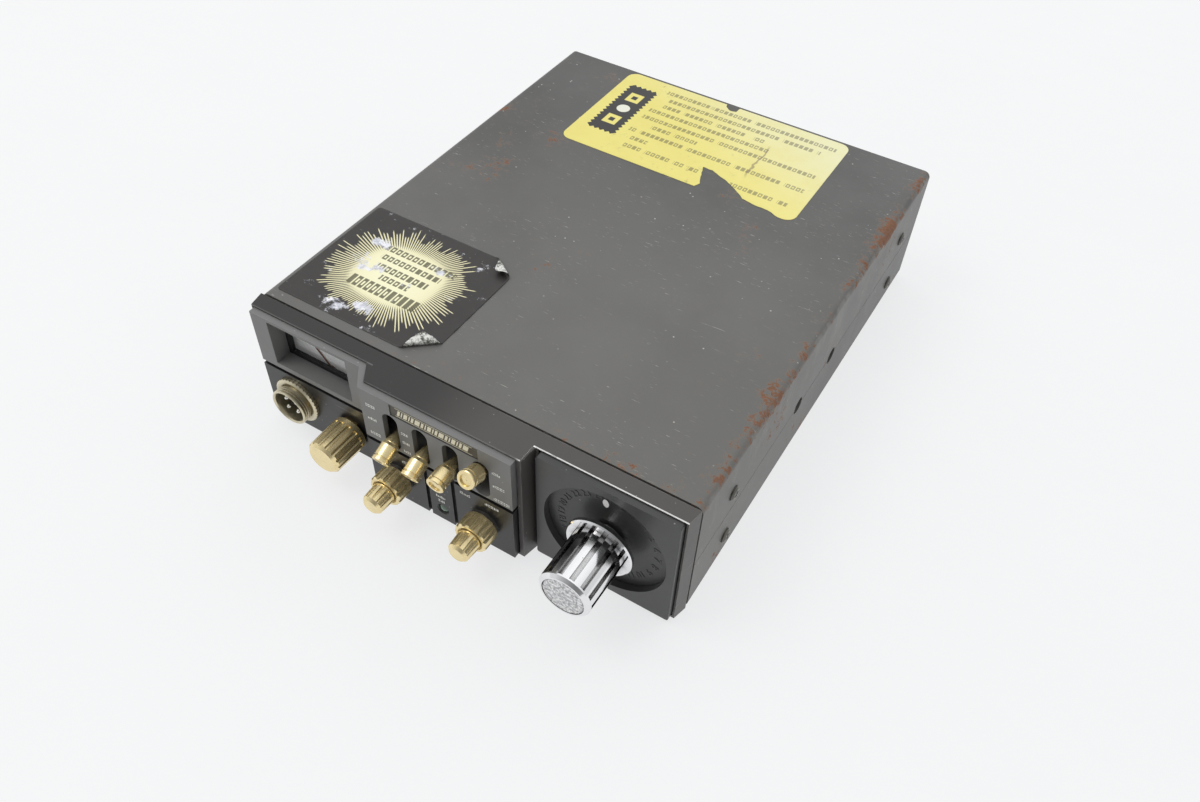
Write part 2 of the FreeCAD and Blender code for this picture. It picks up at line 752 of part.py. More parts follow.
# ---------------------------------------------------------------- levers
def lever(index):
    """Bullet-shaped lever on its cross pin, at its rest angle."""
    rod_r = 0.9
    tail = 9.0
    cone = 6.4
    cone_r = 2.75
    end, neck, r = lever_length, lever_neck, lever_cap_r
    profile = [(0, tail), (rod_r, tail), (rod_r, -(neck - cone)), (cone_r, -(neck - 0.3)),
               (cone_r - 0.3, -(neck - 0.25)), (cone_r - 0.3, -neck), (r - 0.45, -(neck + 0.05)),
               (r, -(neck + 1.15)), (r, -(end - 1.9)),
               (r - 0.3, -(end - 1.75)), (r - 0.3, -(end - 1.45)), (r + 0.05, -(end - 1.3)),
               (r + 0.05, -(end - 0.25)), (r - 0.2, -end), (2.3, -end), (2.2, -(end - 0.6)),
               (0, -(end - 0.5))]
    shape = turned(profile, 0, 0).fuse(along_x(0, 0, 2.2, -1.7, 1.7))
    shape = shape.cut(along_x(0, 0, pivot_r + running, -5, 5))
    shape.rotate(vec(0, 0, 0), vec(1, 0, 0), -lever_rest[index])
    shape.translate(vec(lever_centres()[index], lever_pivot_y, lever_pivot_z))
    return shape


def lever_switch(x):
    """Black switch housing, slotted for the lever, with an ear each side of it."""
    half_x, half_z, ear_half_z = 4.7, 8.2, 6.5
    slot_half = 1.85
    front, rear = lever_pivot_y - 2.6, 17.0
    body = box(x - half_x, x + half_x, bezel_floor + 0.3, rear, lever_pivot_z - half_z,
               lever_pivot_z + half_z)
    ears = box(x - half_x, x + half_x, front, bezel_floor + 1, lever_pivot_z - ear_half_z,
               lever_pivot_z + ear_half_z)
    slot = box(x - slot_half, x + slot_half, front - 1, 6.5, -FAR, FAR)
    hole = along_x(lever_pivot_y, lever_pivot_z, pivot_r + touch, x - 10, x + 10)
    lugs = []
    for dz in (-5, 0, 5):
        z = lever_pivot_z + dz
        lugs.append(box(x - 0.4, x + 0.4, rear - 1, rear + 4, z - 1, z + 1))
    return joined([body, ears] + lugs).cut([slot, hole])


def lever_switches():
    return [lever_switch(x) for x in lever_centres()]


def lever_pins():
    return [along_x(lever_pivot_y, lever_pivot_z, pivot_r, x - 4.6, x + 4.6) for x in lever_centres()]


def indicator_lens():
    """Domed lamp lens in the lamp panel."""
    front = middle_front + 0.1
    dome = 0.8
    profile = [(0, front), (lamp_r * 0.5, front + dome * 0.2), (lamp_r * 0.85, front + dome * 0.6),
               (lamp_r, front + dome * 1.2), (lamp_r, middle_front + 7), (0, middle_front + 7)]
    return turned(profile, middle_x, lamp_z)


# ---------------------------------------------------------------- meter
def meter_housing():
    """Black box with a front rim, open at the front, holding lens, scale and movement."""
    left, right, bottom, top = window
    step_y = bezel_rear + clear
    front = box(left - 2.1, right + 2.1, bezel_floor + 0.05, step_y, bottom - 1.7, top + 0.6)
    rear = box(left - 2.1, right + 2.1, step_y, meter_rear, meter_low, top + 0.6)
    opening = box(left + 1.7, right - 1.7, -20, step_y, bottom + 1.6, top - 1.6)
    lens_seat = box(left - 0.6, right + 0.6, meter_lens_y - 0.05, step_y + 0.1, bottom - 0.3, top - 0.4)
    inside = box(left - 0.6, right + 0.6, step_y, meter_rear - 1.5, meter_low + 1.2, top - 0.4)
    return joined([front, rear]).cut([opening, lens_seat, inside])


def meter_lens():
    left, right, bottom, top = window
    back = meter_lens_y + meter_lens_thick
    return box(left - 0.4, right + 0.4, meter_lens_y, back, bottom - 0.1, top - 0.6)


def meter_scale():
    """Light printed plate with a hole for the needle's pivot."""
    left, right, bottom, top = window
    plate = box(left - 0.4, right + 0.4, meter_scale_y, meter_scale_y + 0.8, meter_low + 1.3, top - 0.6)
    return plate.cut(along_y(meter_x, meter_pivot_z, needle_staff_r + 0.3, -20, 40))


def meter_needle():
    """Needle with its hub and staff, at the zero end of the scale."""
    y0 = meter_scale_y - 0.55
    blade = needle_blade(y0, y0 + 0.3)
    hub = along_y(meter_x, meter_pivot_z, 1.6, y0 - 0.1, y0 + 0.4)
    staff = along_y(meter_x, meter_pivot_z, needle_staff_r, y0 - 0.1, meter_scale_y + 9.0)
    shape = joined([blade, hub, staff])
    shape.rotate(vec(meter_x, 0, meter_pivot_z), vec(0, 1, 0), -needle_swing / 2)
    return shape


def needle_blade(y0, y1):
    """Tapered blade standing straight up from the pivot."""
    tip = meter_pivot_z + needle_length
    tail = meter_pivot_z - 2.2
    corners = [vec(meter_x - 0.45, y0, tail), vec(meter_x + 0.45, y0, tail),
               vec(meter_x + 0.15, y0, tip), vec(meter_x - 0.15, y0, tip)]
    return Part.Face(Part.makePolygon(corners + corners[:1])).extrude(vec(0, y1 - y0, 0))


def meter_movement():
    """Magnet and yoke behind the scale, bored for the needle's staff."""
    front = meter_scale_y + 1.6
    block = along_y(meter_x, meter_pivot_z + 6.5, 8.4, front, front + 13)
    return block.cut(along_y(meter_x, meter_pivot_z, needle_staff_r + running, -20, front + 8.0))


# ---------------------------------------------------------------- inside
def main_board():
    half = 84.0
    board = box(-half, half, 34.0, 200.0, shelf_top, shelf_top + panel_thick)
    holes = []
    for x in (-board_screw_x, board_screw_x):
        for y in board_screw_y:
            holes.append(along_z(x, y, screw_r + clear, 0, FAR))
    for side in (-1, 1):
        for y in bracket_y:
            holes.append(bolt_notch(side, y, 0, FAR))
    return board.cut(holes)


def tuning_cans():
    """Screened coils in two rows, each with its core hole."""
    seat = board_top + touch
    cans = []
    for row, y in enumerate((52.0, 78.0)):
        for column in range(6):
            x = -62.0 + column * 15.0 + row * 6.0
            can = box(x - 5, x + 5, y - 5, y + 5, seat, seat + 13)
            cans.append(can.cut(along_z(x, y, 2.0, seat + 9, FAR)))
    return cans


def capacitors():
    """Electrolytic capacitors: the two supply cans and a row of small ones."""
    seat = board_top + touch
    places = [(55.0, 150.0, 9.0, 24.0), (55.0, 172.0, 8.0, 22.0)]
    places += [(-70.0 + 12.0 * index, 104.0, 3.2, 11.0) for index in range(7)]
    cans = []
    for x, y, r, height in places:
        top = seat + height
        profile = [(0, seat), (r, seat), (r, seat + 1.6), (r - 0.4, seat + 2.0),
                   (r, seat + 2.4), (r, top - 0.5), (r - 0.5, top), (0, top)]
        cans.append(turned_up(profile, x, y))
    return cans


def audio_transformer():
    """Laminated core with its winding bulging each side."""
    seat = board_top + touch
    core = box(5, 37, 138, 156, seat, seat + 24)
    winding = rounded_box(11, 31, 131, 163, seat + 4, seat + 20, 4.0, vec(0, 1, 0))
    return joined([core, winding])


def transistor_bracket():
    """Aluminium angle that carries the power transistors against the rear panel."""
    low = board_top + 1.5
    high = board_top + 23.5
    thick = 3.0
    upright = box(-36, 2, frame_rear - thick, frame_rear, low, high)
    return joined([upright, box(-36, 2, frame_rear - 12, frame_rear, high - thick, high)])


def power_transistors():
    """Three flat-bodied transistors, each with a holed tab and three leads down to the board."""
    seat = board_top + touch
    face = frame_rear - 3.0 - touch
    body_low, body_high, tab_high = board_top + 4.6, board_top + 13.6, board_top + 19.4
    parts = []
    for x in (-29.0, -17.0, -5.0):
        body = box(x - 5, x + 5, face - 4.4, face, body_low, body_high)
        tab = box(x - 5, x + 5, face - 1.3, face, body_low, tab_high)
        pieces = [body, tab.cut(along_y(x, tab_high - 2.5, 1.8, 150, FAR))]
        for dx in (-2.5, 0, 2.5):
            pieces.append(box(x + dx - 0.4, x + dx + 0.4, face - 2.8, face - 2.4, seat, body_low + 1))
        parts.append(joined(pieces))
    return parts


def speaker_frame():
    base = sheet + 0.05
    return turned_up([(34.0, base), (speaker_r, base), (speaker_r, base + 1.2), (36.0, base + 1.4),
                      (15.5, base + 12.0), (8.0, base + 12.0), (8.0, base + 11.0), (15.0, base + 11.0),
                      (34.0, base + 1.2)], 0, speaker_y)


def speaker_cone():
    base = sheet + 0.6
    return turned_up([(0, base + 5.4), (7.0, base + 7.6), (33.4, base + 0.2), (33.4, base + 0.9),
                      (7.2, base + 8.4), (0, base + 6.1)], 0, speaker_y)


def speaker_magnet():
    low = sheet + 0.05 + 12.02
    return turned_up([(0, low), (17.5, low), (18.0, low + 0.5), (18.0, low + 5.2), (17.5, low + 5.7),
                      (0, low + 5.7)], 0, speaker_y)


# ---------------------------------------------------------------- rear fittings
def antenna_socket():
    """Flanged coaxial socket with a threaded barrel and a notched rim."""
    flange_front = panel_face + touch
    flange_half = 12.7
    flange_thick = 1.6
    rim = flange_front + flange_thick + 11.0
    body_rear = frame_rear - 4.0
    pitch = 1.06
    thread_start = flange_front + flange_thick + thread_relief
    lead = 0.8
    profile = [(antenna_bore_r, body_rear), (antenna_body_r, body_rear),
               (antenna_body_r, flange_front + 0.5), (antenna_root_r, flange_front + 0.5),
               (antenna_root_r, thread_start), (antenna_thread_r, thread_start)]
    y = thread_start + 0.4
    while y + pitch < rim - lead - 0.2:
        profile += [(antenna_thread_r, y), (antenna_root_r, y + 0.3), (antenna_root_r, y + 0.4),
                    (antenna_thread_r, y + 0.7)]
        y += pitch
    profile += [(antenna_thread_r, rim - lead), (antenna_root_r, rim), (antenna_bore_r, rim)]
    barrel = turned(profile, antenna_x, rear_socket_z)
    flange = rounded_box(antenna_x - flange_half, antenna_x + flange_half, flange_front,
                         flange_front + flange_thick, rear_socket_z - flange_half,
                         rear_socket_z + flange_half, 2.0, vec(0, 1, 0))
    cuts = [along_y(antenna_x, rear_socket_z, antenna_bore_r, 150, FAR)]
    for dx in (-1, 1):
        for dz in (-1, 1):
            cuts.append(along_y(antenna_x + dx * 9.1, rear_socket_z + dz * 9.1, 1.7, 150, FAR))
    notch = box(antenna_x + antenna_bore_r - 0.5, antenna_x + 12, rim - lead + 0.1, rim + 1,
                rear_socket_z - 0.5, rear_socket_z + 0.5)
    cuts += turned_round(notch, antenna_x, rear_socket_z, 8)
    return joined([barrel, flange]).cut(cuts)


def antenna_insulator():
    r = antenna_bore_r - running
    core = along_y(antenna_x, rear_socket_z, r, frame_rear - 4.0, 214.0)
    return core.cut(along_y(antenna_x, rear_socket_z, 2.42, 150, FAR))


def antenna_contact():
    """Tubular centre contact with a solder cup behind."""
    tube = along_y(antenna_x, rear_socket_z, 2.4, frame_rear - 10.0, 216.5)
    return tube.cut(along_y(antenna_x, rear_socket_z, 1.95, 207.0, FAR))


def power_socket():
    """Rectangular supply socket with a flange and a hollow that holds three pins."""
    y0 = frame_rear - 7.0
    flange = panel_face + touch
    face = flange + 1.8
    x0, x1 = power_x - power_half_x, power_x + power_half_x
    z0, z1 = rear_socket_z - power_half_z, rear_socket_z + power_half_z
    body = joined([box(x0, x1, y0, face, z0, z1), box(x0 - 2, x1 + 2, flange, face, z0 - 1.5, z1 + 1.5)])
    cuts = [box(x0 + 1.6, x1 - 1.6, y0 + 2, FAR, z0 + 1.6, z1 - 1.6)]
    cuts += [along_y(x, rear_socket_z, power_pin_r + touch, 150, FAR) for x in power_pin_x()]
    return body.cut(cuts)


def power_pin_x():
    return [power_x + offset for offset in (-6.0, 0.0, 6.0)]


def power_pins():
    return [along_y(x, rear_socket_z, power_pin_r, frame_rear - 11.0, frame_rear + 2.0)
            for x in power_pin_x()]


def speaker_jacks():
    """Two 3.5 mm jacks, each a body inside and a bush with its nut outside."""
    jacks = []
    face = panel_face + touch
    for x in jack_x:
        body = box(x - 5, x + 5, frame_rear - 13, frame_rear - touch, rear_socket_z - 4.5,
                   rear_socket_z + 4.5)
        bush = along_y(x, rear_socket_z, jack_bush_r, frame_rear - 1, face + 3.0)
        nut = turned([(0, face), (4.6, face), (4.6, face + 1.4), (4.2, face + 1.8), (0, face + 1.8)],
                     x, rear_socket_z)
        bore = along_y(x, rear_socket_z, jack_bore_r, face - 12.0, FAR)
        jacks.append(joined([body, bush, nut]).cut(bore))
    return jacks


def build():
    os.makedirs("parts", exist_ok=True)
    makers = [
        chassis, top_cover, bottom_cover, rear_panel, machine_screws, front_bezel, upper_fascia,
        lower_fascia, channel_plate, name_strip, mic_socket_shell, mic_socket_nut, mic_socket_insert,
        mic_socket_pins, volume_knob, volume_shaft, volume_control, volume_nut, dual_controls,
        dual_collars, channel_knob, channel_knob_cap, channel_dial, channel_shaft, channel_switch,
        lever_switches, lever_pins, indicator_lens, meter_housing, meter_scale, meter_needle,
        meter_lens, meter_movement, main_board, tuning_cans, capacitors, audio_transformer,
        power_transistors, transistor_bracket, speaker_frame, speaker_cone, speaker_magnet,
        antenna_socket, antenna_insulator, antenna_contact, power_socket, power_pins, speaker_jacks,
    ]
    for maker in makers:
        save(maker.__name__, maker())
    for side, x in zip(("left", "right"), dual_x):
        save(side + "_outer_knob", outer_knob(x))
        save(side + "_inner_knob", inner_knob(x))
        save(side + "_outer_shaft", outer_shaft(x))
        save(side + "_inner_shaft", inner_shaft(x))
    for index in range(4):
        save("lever_%d" % (index + 1), lever(index))


build()
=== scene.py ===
import math
import random

import bmesh
import bpy
from mathutils import Matrix, Vector, noise


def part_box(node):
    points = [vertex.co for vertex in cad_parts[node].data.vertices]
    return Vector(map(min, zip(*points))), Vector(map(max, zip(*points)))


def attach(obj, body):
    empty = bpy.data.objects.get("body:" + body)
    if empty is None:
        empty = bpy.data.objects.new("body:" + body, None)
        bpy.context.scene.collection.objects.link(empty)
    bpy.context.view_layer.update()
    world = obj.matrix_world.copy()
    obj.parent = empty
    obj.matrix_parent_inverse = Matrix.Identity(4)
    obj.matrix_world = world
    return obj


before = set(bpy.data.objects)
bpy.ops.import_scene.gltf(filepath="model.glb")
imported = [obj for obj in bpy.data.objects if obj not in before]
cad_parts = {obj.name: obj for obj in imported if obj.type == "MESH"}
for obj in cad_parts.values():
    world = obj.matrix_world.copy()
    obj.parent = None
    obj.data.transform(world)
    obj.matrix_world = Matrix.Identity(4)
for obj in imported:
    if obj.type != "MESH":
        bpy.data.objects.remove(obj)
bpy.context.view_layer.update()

MM = 0.001
CASE_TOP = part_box("top_cover")[1].z
CASE_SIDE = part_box("top_cover")[1].x
LEVER_BLOCK_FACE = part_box("upper_fascia")[0].y
DISPLAY_FACE = -9.6 * MM
SEAM = 25.95 * MM
PRINT_THICK = 0.05 * MM
INK = (0.80, 0.80, 0.76)


# ---------------------------------------------------------------- shader helpers
class Shader:
    """A node material, with short calls for the nodes this scene uses."""

    def __init__(self, name):
        self.material = bpy.data.materials.new(name)
        self.material.use_nodes = True
        self.tree = self.material.node_tree
        self.tree.nodes.clear()
        self.output = self.add("ShaderNodeOutputMaterial")
        self.place = self.add("ShaderNodeTexCoord").outputs["Object"]

    def add(self, kind, inputs=None, **settings):
        node = self.tree.nodes.new(kind)
        for key, value in settings.items():
            setattr(node, key, value)
        for key, value in (inputs or {}).items():
            self.feed(node.inputs[key], value)
        return node

    def feed(self, socket, value):
        if isinstance(value, bpy.types.NodeSocket):
            self.tree.links.new(value, socket)
        elif socket.type == "RGBA" and len(value) == 3:
            socket.default_value = (*value, 1.0)
        else:
            socket.default_value = value

    def math(self, operation, a, b=0.0, clamp=False):
        return self.add("ShaderNodeMath", {0: a, 1: b}, operation=operation, use_clamp=clamp).outputs[0]

    def both(self, a, b):
        return self.math("MULTIPLY", a, b)

    def either(self, a, b):
        return self.math("MAXIMUM", a, b)

    def invert(self, value):
        return self.math("SUBTRACT", 1.0, value)

    def step(self, value, low, high, to_low=0.0, to_high=1.0):
        """Smooth step from to_low to to_high while the value goes from low to high."""
        inputs = {"Value": value, "From Min": low, "From Max": high, "To Min": to_low, "To Max": to_high}
        return self.add("ShaderNodeMapRange", inputs, interpolation_type="SMOOTHSTEP").outputs[0]

    def mix(self, factor, a, b):
        node = self.add("ShaderNodeMix", data_type="RGBA")
        for index, value in ((0, factor), (6, a), (7, b)):
            self.feed(node.inputs[index], value)
        return node.outputs[2]

    def blend(self, factor, a, b):
        node = self.add("ShaderNodeMix", data_type="FLOAT")
        for index, value in ((0, factor), (2, a), (3, b)):
            self.feed(node.inputs[index], value)
        return node.outputs[0]

    def axis(self, letter, vector=None):
        source = self.place if vector is None else vector
        return self.add("ShaderNodeSeparateXYZ", {0: source}).outputs[letter]

    def stretched(self, scale=(1, 1, 1), turn=(0, 0, 0), shift=(0, 0, 0)):
        inputs = {"Vector": self.place, "Scale": scale, "Rotation": turn, "Location": shift}
        return self.add("ShaderNodeMapping", inputs).outputs[0]

    def noise(self, scale, detail=3.0, rough=0.55, vector=None):
        inputs = {"Vector": self.place if vector is None else vector, "Scale": scale, "Detail": detail,
                  "Roughness": rough}
        return self.add("ShaderNodeTexNoise", inputs).outputs["Fac"]

    def specks(self, per_metre, size, vector=None):
        """Small round spots, one to a cell at most, of a radius given as a share of the cell."""
        inputs = {"Vector": self.place if vector is None else vector, "Scale": per_metre}
        cell = self.add("ShaderNodeTexVoronoi", inputs)
        pick = self.add("ShaderNodeSeparateColor", {0: cell.outputs["Color"]}).outputs[0]
        inside = self.step(cell.outputs["Distance"], size * 0.7, size, 1.0, 0.0)
        return inside, pick

    def worn_edges(self, radius, low=0.02, high=0.25):
        """1 on convex and concave edges sharper than the radius, 0 on flat faces."""
        soft = self.add("ShaderNodeBevel", {"Radius": radius}, samples=4).outputs[0]
        flat = self.add("ShaderNodeNewGeometry").outputs["Normal"]
        facing = self.add("ShaderNodeVectorMath", {0: soft, 1: flat}, operation="DOT_PRODUCT")
        return self.step(self.invert(facing.outputs["Value"]), low, high)

    def bump(self, height, strength, distance, normal=None):
        inputs = {"Height": height, "Strength": strength, "Distance": distance}
        if normal is not None:
            inputs["Normal"] = normal
        return self.add("ShaderNodeBump", inputs).outputs[0]

    def surface(self, **inputs):
        names = {"color": "Base Color", "rough": "Roughness", "metal": "Metallic", "normal": "Normal",
                 "coat": "Coat Weight", "coat_rough": "Coat Roughness", "specular": "Specular IOR Level",
                 "aniso": "Anisotropic", "glow": "Emission Color", "glow_strength": "Emission Strength",
                 "through": "Transmission Weight", "ior": "IOR", "alpha": "Alpha", "tint": "Specular Tint"}
        node = self.add("ShaderNodeBsdfPrincipled", {names[key]: value for key, value in inputs.items()})
        self.tree.links.new(node.outputs[0], self.output.inputs[0])
        return self.material


def painted_corner_shade(s, amount):
    """Painted shade, with some grime, where faces meet: colour darkened by ambient occlusion."""
    hidden = s.add("ShaderNodeAmbientOcclusion", {"Distance": 2.5 * MM}, samples=3).outputs["AO"]
    return s.both(s.step(hidden, 0.35, 0.85, 1.0, 0.0), amount)


# ---------------------------------------------------------------- materials
def case_enamel():
    """Charcoal enamel on steel: dusty, scratched and rusting from its edges, with painted sheen lighter
    towards the front of the lid and up the sides.
    """
    s = Shader("case_enamel")
    x, y, z = s.axis("X"), s.axis("Y"), s.axis("Z")
    cloud = s.noise(14, 4, 0.6)
    broad = s.noise(38, 6, 0.7)
    base = s.mix(s.step(cloud, 0.35, 0.68), (0.056, 0.055, 0.053), (0.082, 0.081, 0.079))

    from_side = s.math("SUBTRACT", CASE_SIDE, s.math("ABSOLUTE", x))
    near_side = s.step(from_side, 1 * MM, 9 * MM, 1.0, 0.0)
    on_side = s.step(from_side, 0.6 * MM, 1.6 * MM, 1.0, 0.0)
    near_front = s.step(y, 1 * MM, 9 * MM, 0.68, 0.0)
    near_top = s.step(s.math("SUBTRACT", CASE_TOP, z), 1 * MM, 7 * MM, 1.0, 0.0)
    seam = s.step(s.math("ABSOLUTE", s.math("SUBTRACT", z, SEAM)), 0.5 * MM, 3 * MM, 1.0, 0.0)
    edge = s.either(s.both(near_top, s.either(near_side, near_front)), s.both(seam, s.both(on_side, 0.4)))
    right = s.step(x, -60 * MM, 80 * MM, 0.30, 1.0)
    patchy = s.noise(420, 8, 0.74)
    long_patch = s.noise(34, 4, 0.6, s.stretched(shift=(3, 1, 7)))
    rust_push = s.both(s.both(edge, right), s.step(long_patch, 0.40, 0.60, 0.30, 1.0))
    rust_field = s.math("ADD", patchy, s.both(rust_push, 0.235))
    stray = s.step(s.noise(26, 3, 0.6, s.stretched(shift=(11, 5, 2))), 0.57, 0.70, 0.0, 0.135)
    rust_field = s.math("ADD", rust_field, stray)
    rust = s.step(rust_field, 0.675, 0.735)
    halo = s.both(s.step(rust_field, 0.60, 0.70), 0.42)
    rust_color = s.mix(s.noise(900, 4, 0.7), (0.075, 0.032, 0.018), (0.31, 0.150, 0.085))

    chip, chip_pick = s.specks(520, 0.20)
    chips = s.both(s.both(chip, s.step(chip_pick, 0.93, 0.95)), s.step(broad, 0.44, 0.58))
    scratches = None
    for turn, seed in ((0.35, 1.0), (-0.75, 4.0), (1.9, 9.0), (2.6, 14.0)):
        lines = s.noise(1.0, 3, 0.5, s.stretched((210, 2300, 210), (0, 0, turn), (seed, seed, 0)))
        group = s.noise(30, 3, 0.6, s.stretched(shift=(seed, 0, seed)))
        line = s.both(s.step(lines, 0.68, 0.74), s.step(group, 0.50, 0.62))
        scratches = line if scratches is None else s.either(scratches, line)
    marks = s.either(s.both(chips, 0.85), s.both(scratches, 0.60))
    dust_cloud = s.step(s.noise(75, 8, 0.75), 0.42, 0.75)
    streaks = s.noise(1.0, 6, 0.7, s.stretched((70, 110, 45)))
    # Painted sheen: the sides lighter towards the top, the lid lighter towards the front.
    sheen_up_the_side = s.step(z, 12 * MM, 40 * MM, 0.25, 1.0)
    painted_front_sheen = s.step(y, 20 * MM, 190 * MM, 0.34, 0.06)
    side_dust_and_sheen = s.both(s.both(s.step(streaks, 0.34, 0.68), s.both(on_side, sheen_up_the_side)), 0.60)
    # Dust clouds and streaks with painted sheen, together paling the enamel.
    film = s.either(s.either(s.both(dust_cloud, 0.14), painted_front_sheen), side_dust_and_sheen)

    color = s.mix(film, base, (0.24, 0.235, 0.22))
    color = s.mix(marks, color, (0.50, 0.48, 0.45))
    color = s.mix(halo, color, (0.20, 0.150, 0.110))
    color = s.mix(rust, color, rust_color)
    rough = s.blend(s.noise(60, 5, 0.65), 0.36, 0.50)
    rough = s.blend(film, rough, 0.62)
    rough = s.blend(s.step(s.noise(9, 2, 0.5), 0.5, 0.7), rough, 0.45)
    rough = s.blend(rust, rough, 0.9)
    peel = s.noise(900, 3, 0.5)
    height = s.math("ADD", s.both(peel, 0.25), s.both(rust, s.noise(900, 5, 0.7)))
    height = s.math("SUBTRACT", height, s.both(marks, 0.6))
    return s.surface(color=color, rough=rough, specular=0.5, normal=s.bump(height, 0.35, 0.12 * MM))


def painted_front_edge_highlight(s):
    """Painted highlight line along the bezel's top front edge, strongest over the channel plate."""
    x, y, z = s.axis("X"), s.axis("Y"), s.axis("Z")
    past_left = s.step(x, -33.0 * MM, -32.6 * MM)
    middle = s.both(past_left, s.step(x, 32.2 * MM, 32.6 * MM, 1.0, 0.0))
    front = s.math("SUBTRACT", -7.1 * MM, s.both(middle, 7.4 * MM))
    close = s.step(s.math("ABSOLUTE", s.math("SUBTRACT", y, front)), 0.16 * MM, 0.34 * MM, 1.0, 0.0)
    top = s.step(z, CASE_TOP - 0.5 * MM, CASE_TOP - 0.35 * MM)
    share = s.step(x, 30 * MM, 33 * MM, 0.10, 1.0)
    broken = s.step(s.noise(160, 5, 0.7), 0.30, 0.45, 0.35, 1.0)
    return s.both(s.both(close, top), s.both(share, broken))


def moulded_black(name, low, high, rough, wear=0.5, lined=False):
    """Satin black moulding with rubbed edges, dust and fine scratches."""
    s = Shader(name)
    base = s.mix(s.noise(60, 5, 0.6), low, high)
    edge = s.both(s.worn_edges(0.35 * MM), s.step(s.noise(240, 5, 0.7), 0.35, 0.62))
    lines = s.noise(1.0, 2, 0.4, s.stretched((60, 60, 1500), (0.2, 0.3, 0), (2, 5, 1)))
    scratch = s.both(s.step(lines, 0.70, 0.77), s.step(s.noise(40, 2, 0.5), 0.5, 0.65))
    dot, pick = s.specks(700, 0.2)
    dust = s.both(dot, s.step(pick, 0.955, 0.965))
    color = s.mix(s.both(edge, wear), base, (0.42, 0.41, 0.39))
    color = s.mix(s.either(s.both(scratch, 0.25), s.both(dust, 0.5)), color, (0.45, 0.44, 0.42))
    if lined:
        # Near-black band along the bezel's top, fading out to the right.
        dark_top_band = s.step(s.axis("X"), -14 * MM, 20 * MM, 0.78, 0.0)
        dark_top_band = s.both(dark_top_band, s.step(s.axis("Z"), CASE_TOP - 3 * MM, CASE_TOP - 1 * MM))
        color = s.mix(dark_top_band, color, (0.006, 0.005, 0.005))
        # Painted highlight along the bezel's top front edge.
        color = s.mix(painted_front_edge_highlight(s), color, (0.95, 0.95, 0.93))
    smudge = s.noise(45, 5, 0.65)
    height = s.math("ADD", s.noise(2600, 2, 0.5), s.both(s.noise(200, 3, 0.5), 0.4))
    return s.surface(color=color, rough=s.blend(smudge, rough - 0.07, rough + 0.12),
                     normal=s.bump(height, 0.12, 0.04 * MM))


def polished_black(name, base, rough):
    """Polished black plate with dust and hairline polishing marks."""
    s = Shader(name)
    dot, pick = s.specks(520, 0.18)
    dust = s.both(dot, s.step(pick, 0.955, 0.965))
    fibre = s.noise(1.0, 2, 0.4, s.stretched((90, 90, 1300), (0.3, 1.1, 0.4)))
    lint = s.both(s.step(fibre, 0.73, 0.78), s.step(s.noise(60, 2, 0.5), 0.54, 0.66))
    color = s.mix(s.either(s.both(dust, 0.45), s.both(lint, 0.20)), base, (0.40, 0.40, 0.39))
    smear = s.step(s.noise(38, 5, 0.65), 0.4, 0.7, rough, rough + 0.10)
    return s.surface(color=color, rough=smear, normal=s.bump(s.noise(900, 3, 0.5), 0.03, 0.01 * MM))


def turned_metal(name, color, dark, rough, lines=0.15, tarnish=0.35, grime=0.5, metal=1.0):
    """Lathe-turned or plated metal: rings about the Y direction, tarnish, and painted shade with some grime
    in the corners.
    """
    s = Shader(name)
    rings = s.noise(1.0, 3, 0.6, s.stretched((40, 4200, 40)))
    spots = s.step(s.noise(420, 6, 0.72), 0.56, 0.74)
    cloud = s.noise(130, 4, 0.6)
    tone = s.mix(s.both(s.step(cloud, 0.35, 0.7), 0.5), color, tuple(0.82 * c for c in color))
    tone = s.mix(s.both(spots, tarnish), tone, dark)
    # Painted shade, with some grime, darkens the corners.
    tone = s.mix(painted_corner_shade(s, grime), tone, tuple(0.6 * c for c in dark))
    finish = s.blend(cloud, rough - 0.04, rough + 0.06)
    finish = s.blend(s.both(spots, tarnish), finish, rough + 0.18)
    return s.surface(color=tone, metal=metal, rough=finish, normal=s.bump(rings, lines, 0.02 * MM))


def chrome():
    """Bright chrome with fingerprints, pinhole spots and near-black painted shade in its grooves."""
    s = Shader("chrome")
    print_cloud = s.step(s.noise(90, 5, 0.65), 0.45, 0.7)
    dot, pick = s.specks(900, 0.2)
    pits = s.both(dot, s.step(pick, 0.94, 0.96))
    color = s.mix(s.both(pits, 0.7), (0.83, 0.83, 0.84), (0.22, 0.18, 0.13))
    # Painted shade, near black, in the grooves.
    color = s.mix(painted_corner_shade(s, 0.92), color, (0.035, 0.03, 0.026))
    return s.surface(color=color, metal=1.0, rough=s.blend(print_cloud, 0.10, 0.20),
                     normal=s.bump(s.noise(500, 3, 0.5), 0.02, 0.01 * MM))


def grained_silver():
    """Spun and grit-blasted disc let into the end of the knob."""
    s = Shader("grained_silver")
    grain = s.noise(2800, 4, 0.75)
    coarse = s.noise(900, 4, 0.7)
    color = s.mix(s.step(coarse, 0.38, 0.62), (0.36, 0.36, 0.37), (0.92, 0.92, 0.92))
    height = s.math("ADD", grain, coarse)
    return s.surface(color=color, metal=1.0, rough=0.38, normal=s.bump(height, 1.0, 0.25 * MM))


def sheet_metal(name, color, rough, grain_axis=(8, 900, 900), metal=1.0):
    """Rolled or plated sheet with a grain along one direction."""
    s = Shader(name)
    grain = s.noise(1.0, 4, 0.6, s.stretched(grain_axis))
    stain = s.step(s.noise(45, 6, 0.7), 0.45, 0.75)
    tone = s.mix(s.both(grain, 0.5), color, tuple(0.7 * c for c in color))
    tone = s.mix(s.both(stain, 0.35), tone, tuple(0.5 * c for c in color))
    # Painted shade, with some grime, where faces meet.
    tone = s.mix(painted_corner_shade(s, 0.5), tone, tuple(0.2 * c for c in color))
    return s.surface(color=tone, metal=metal, rough=s.blend(stain, rough, rough + 0.15),
                     normal=s.bump(grain, 0.25, 0.02 * MM))


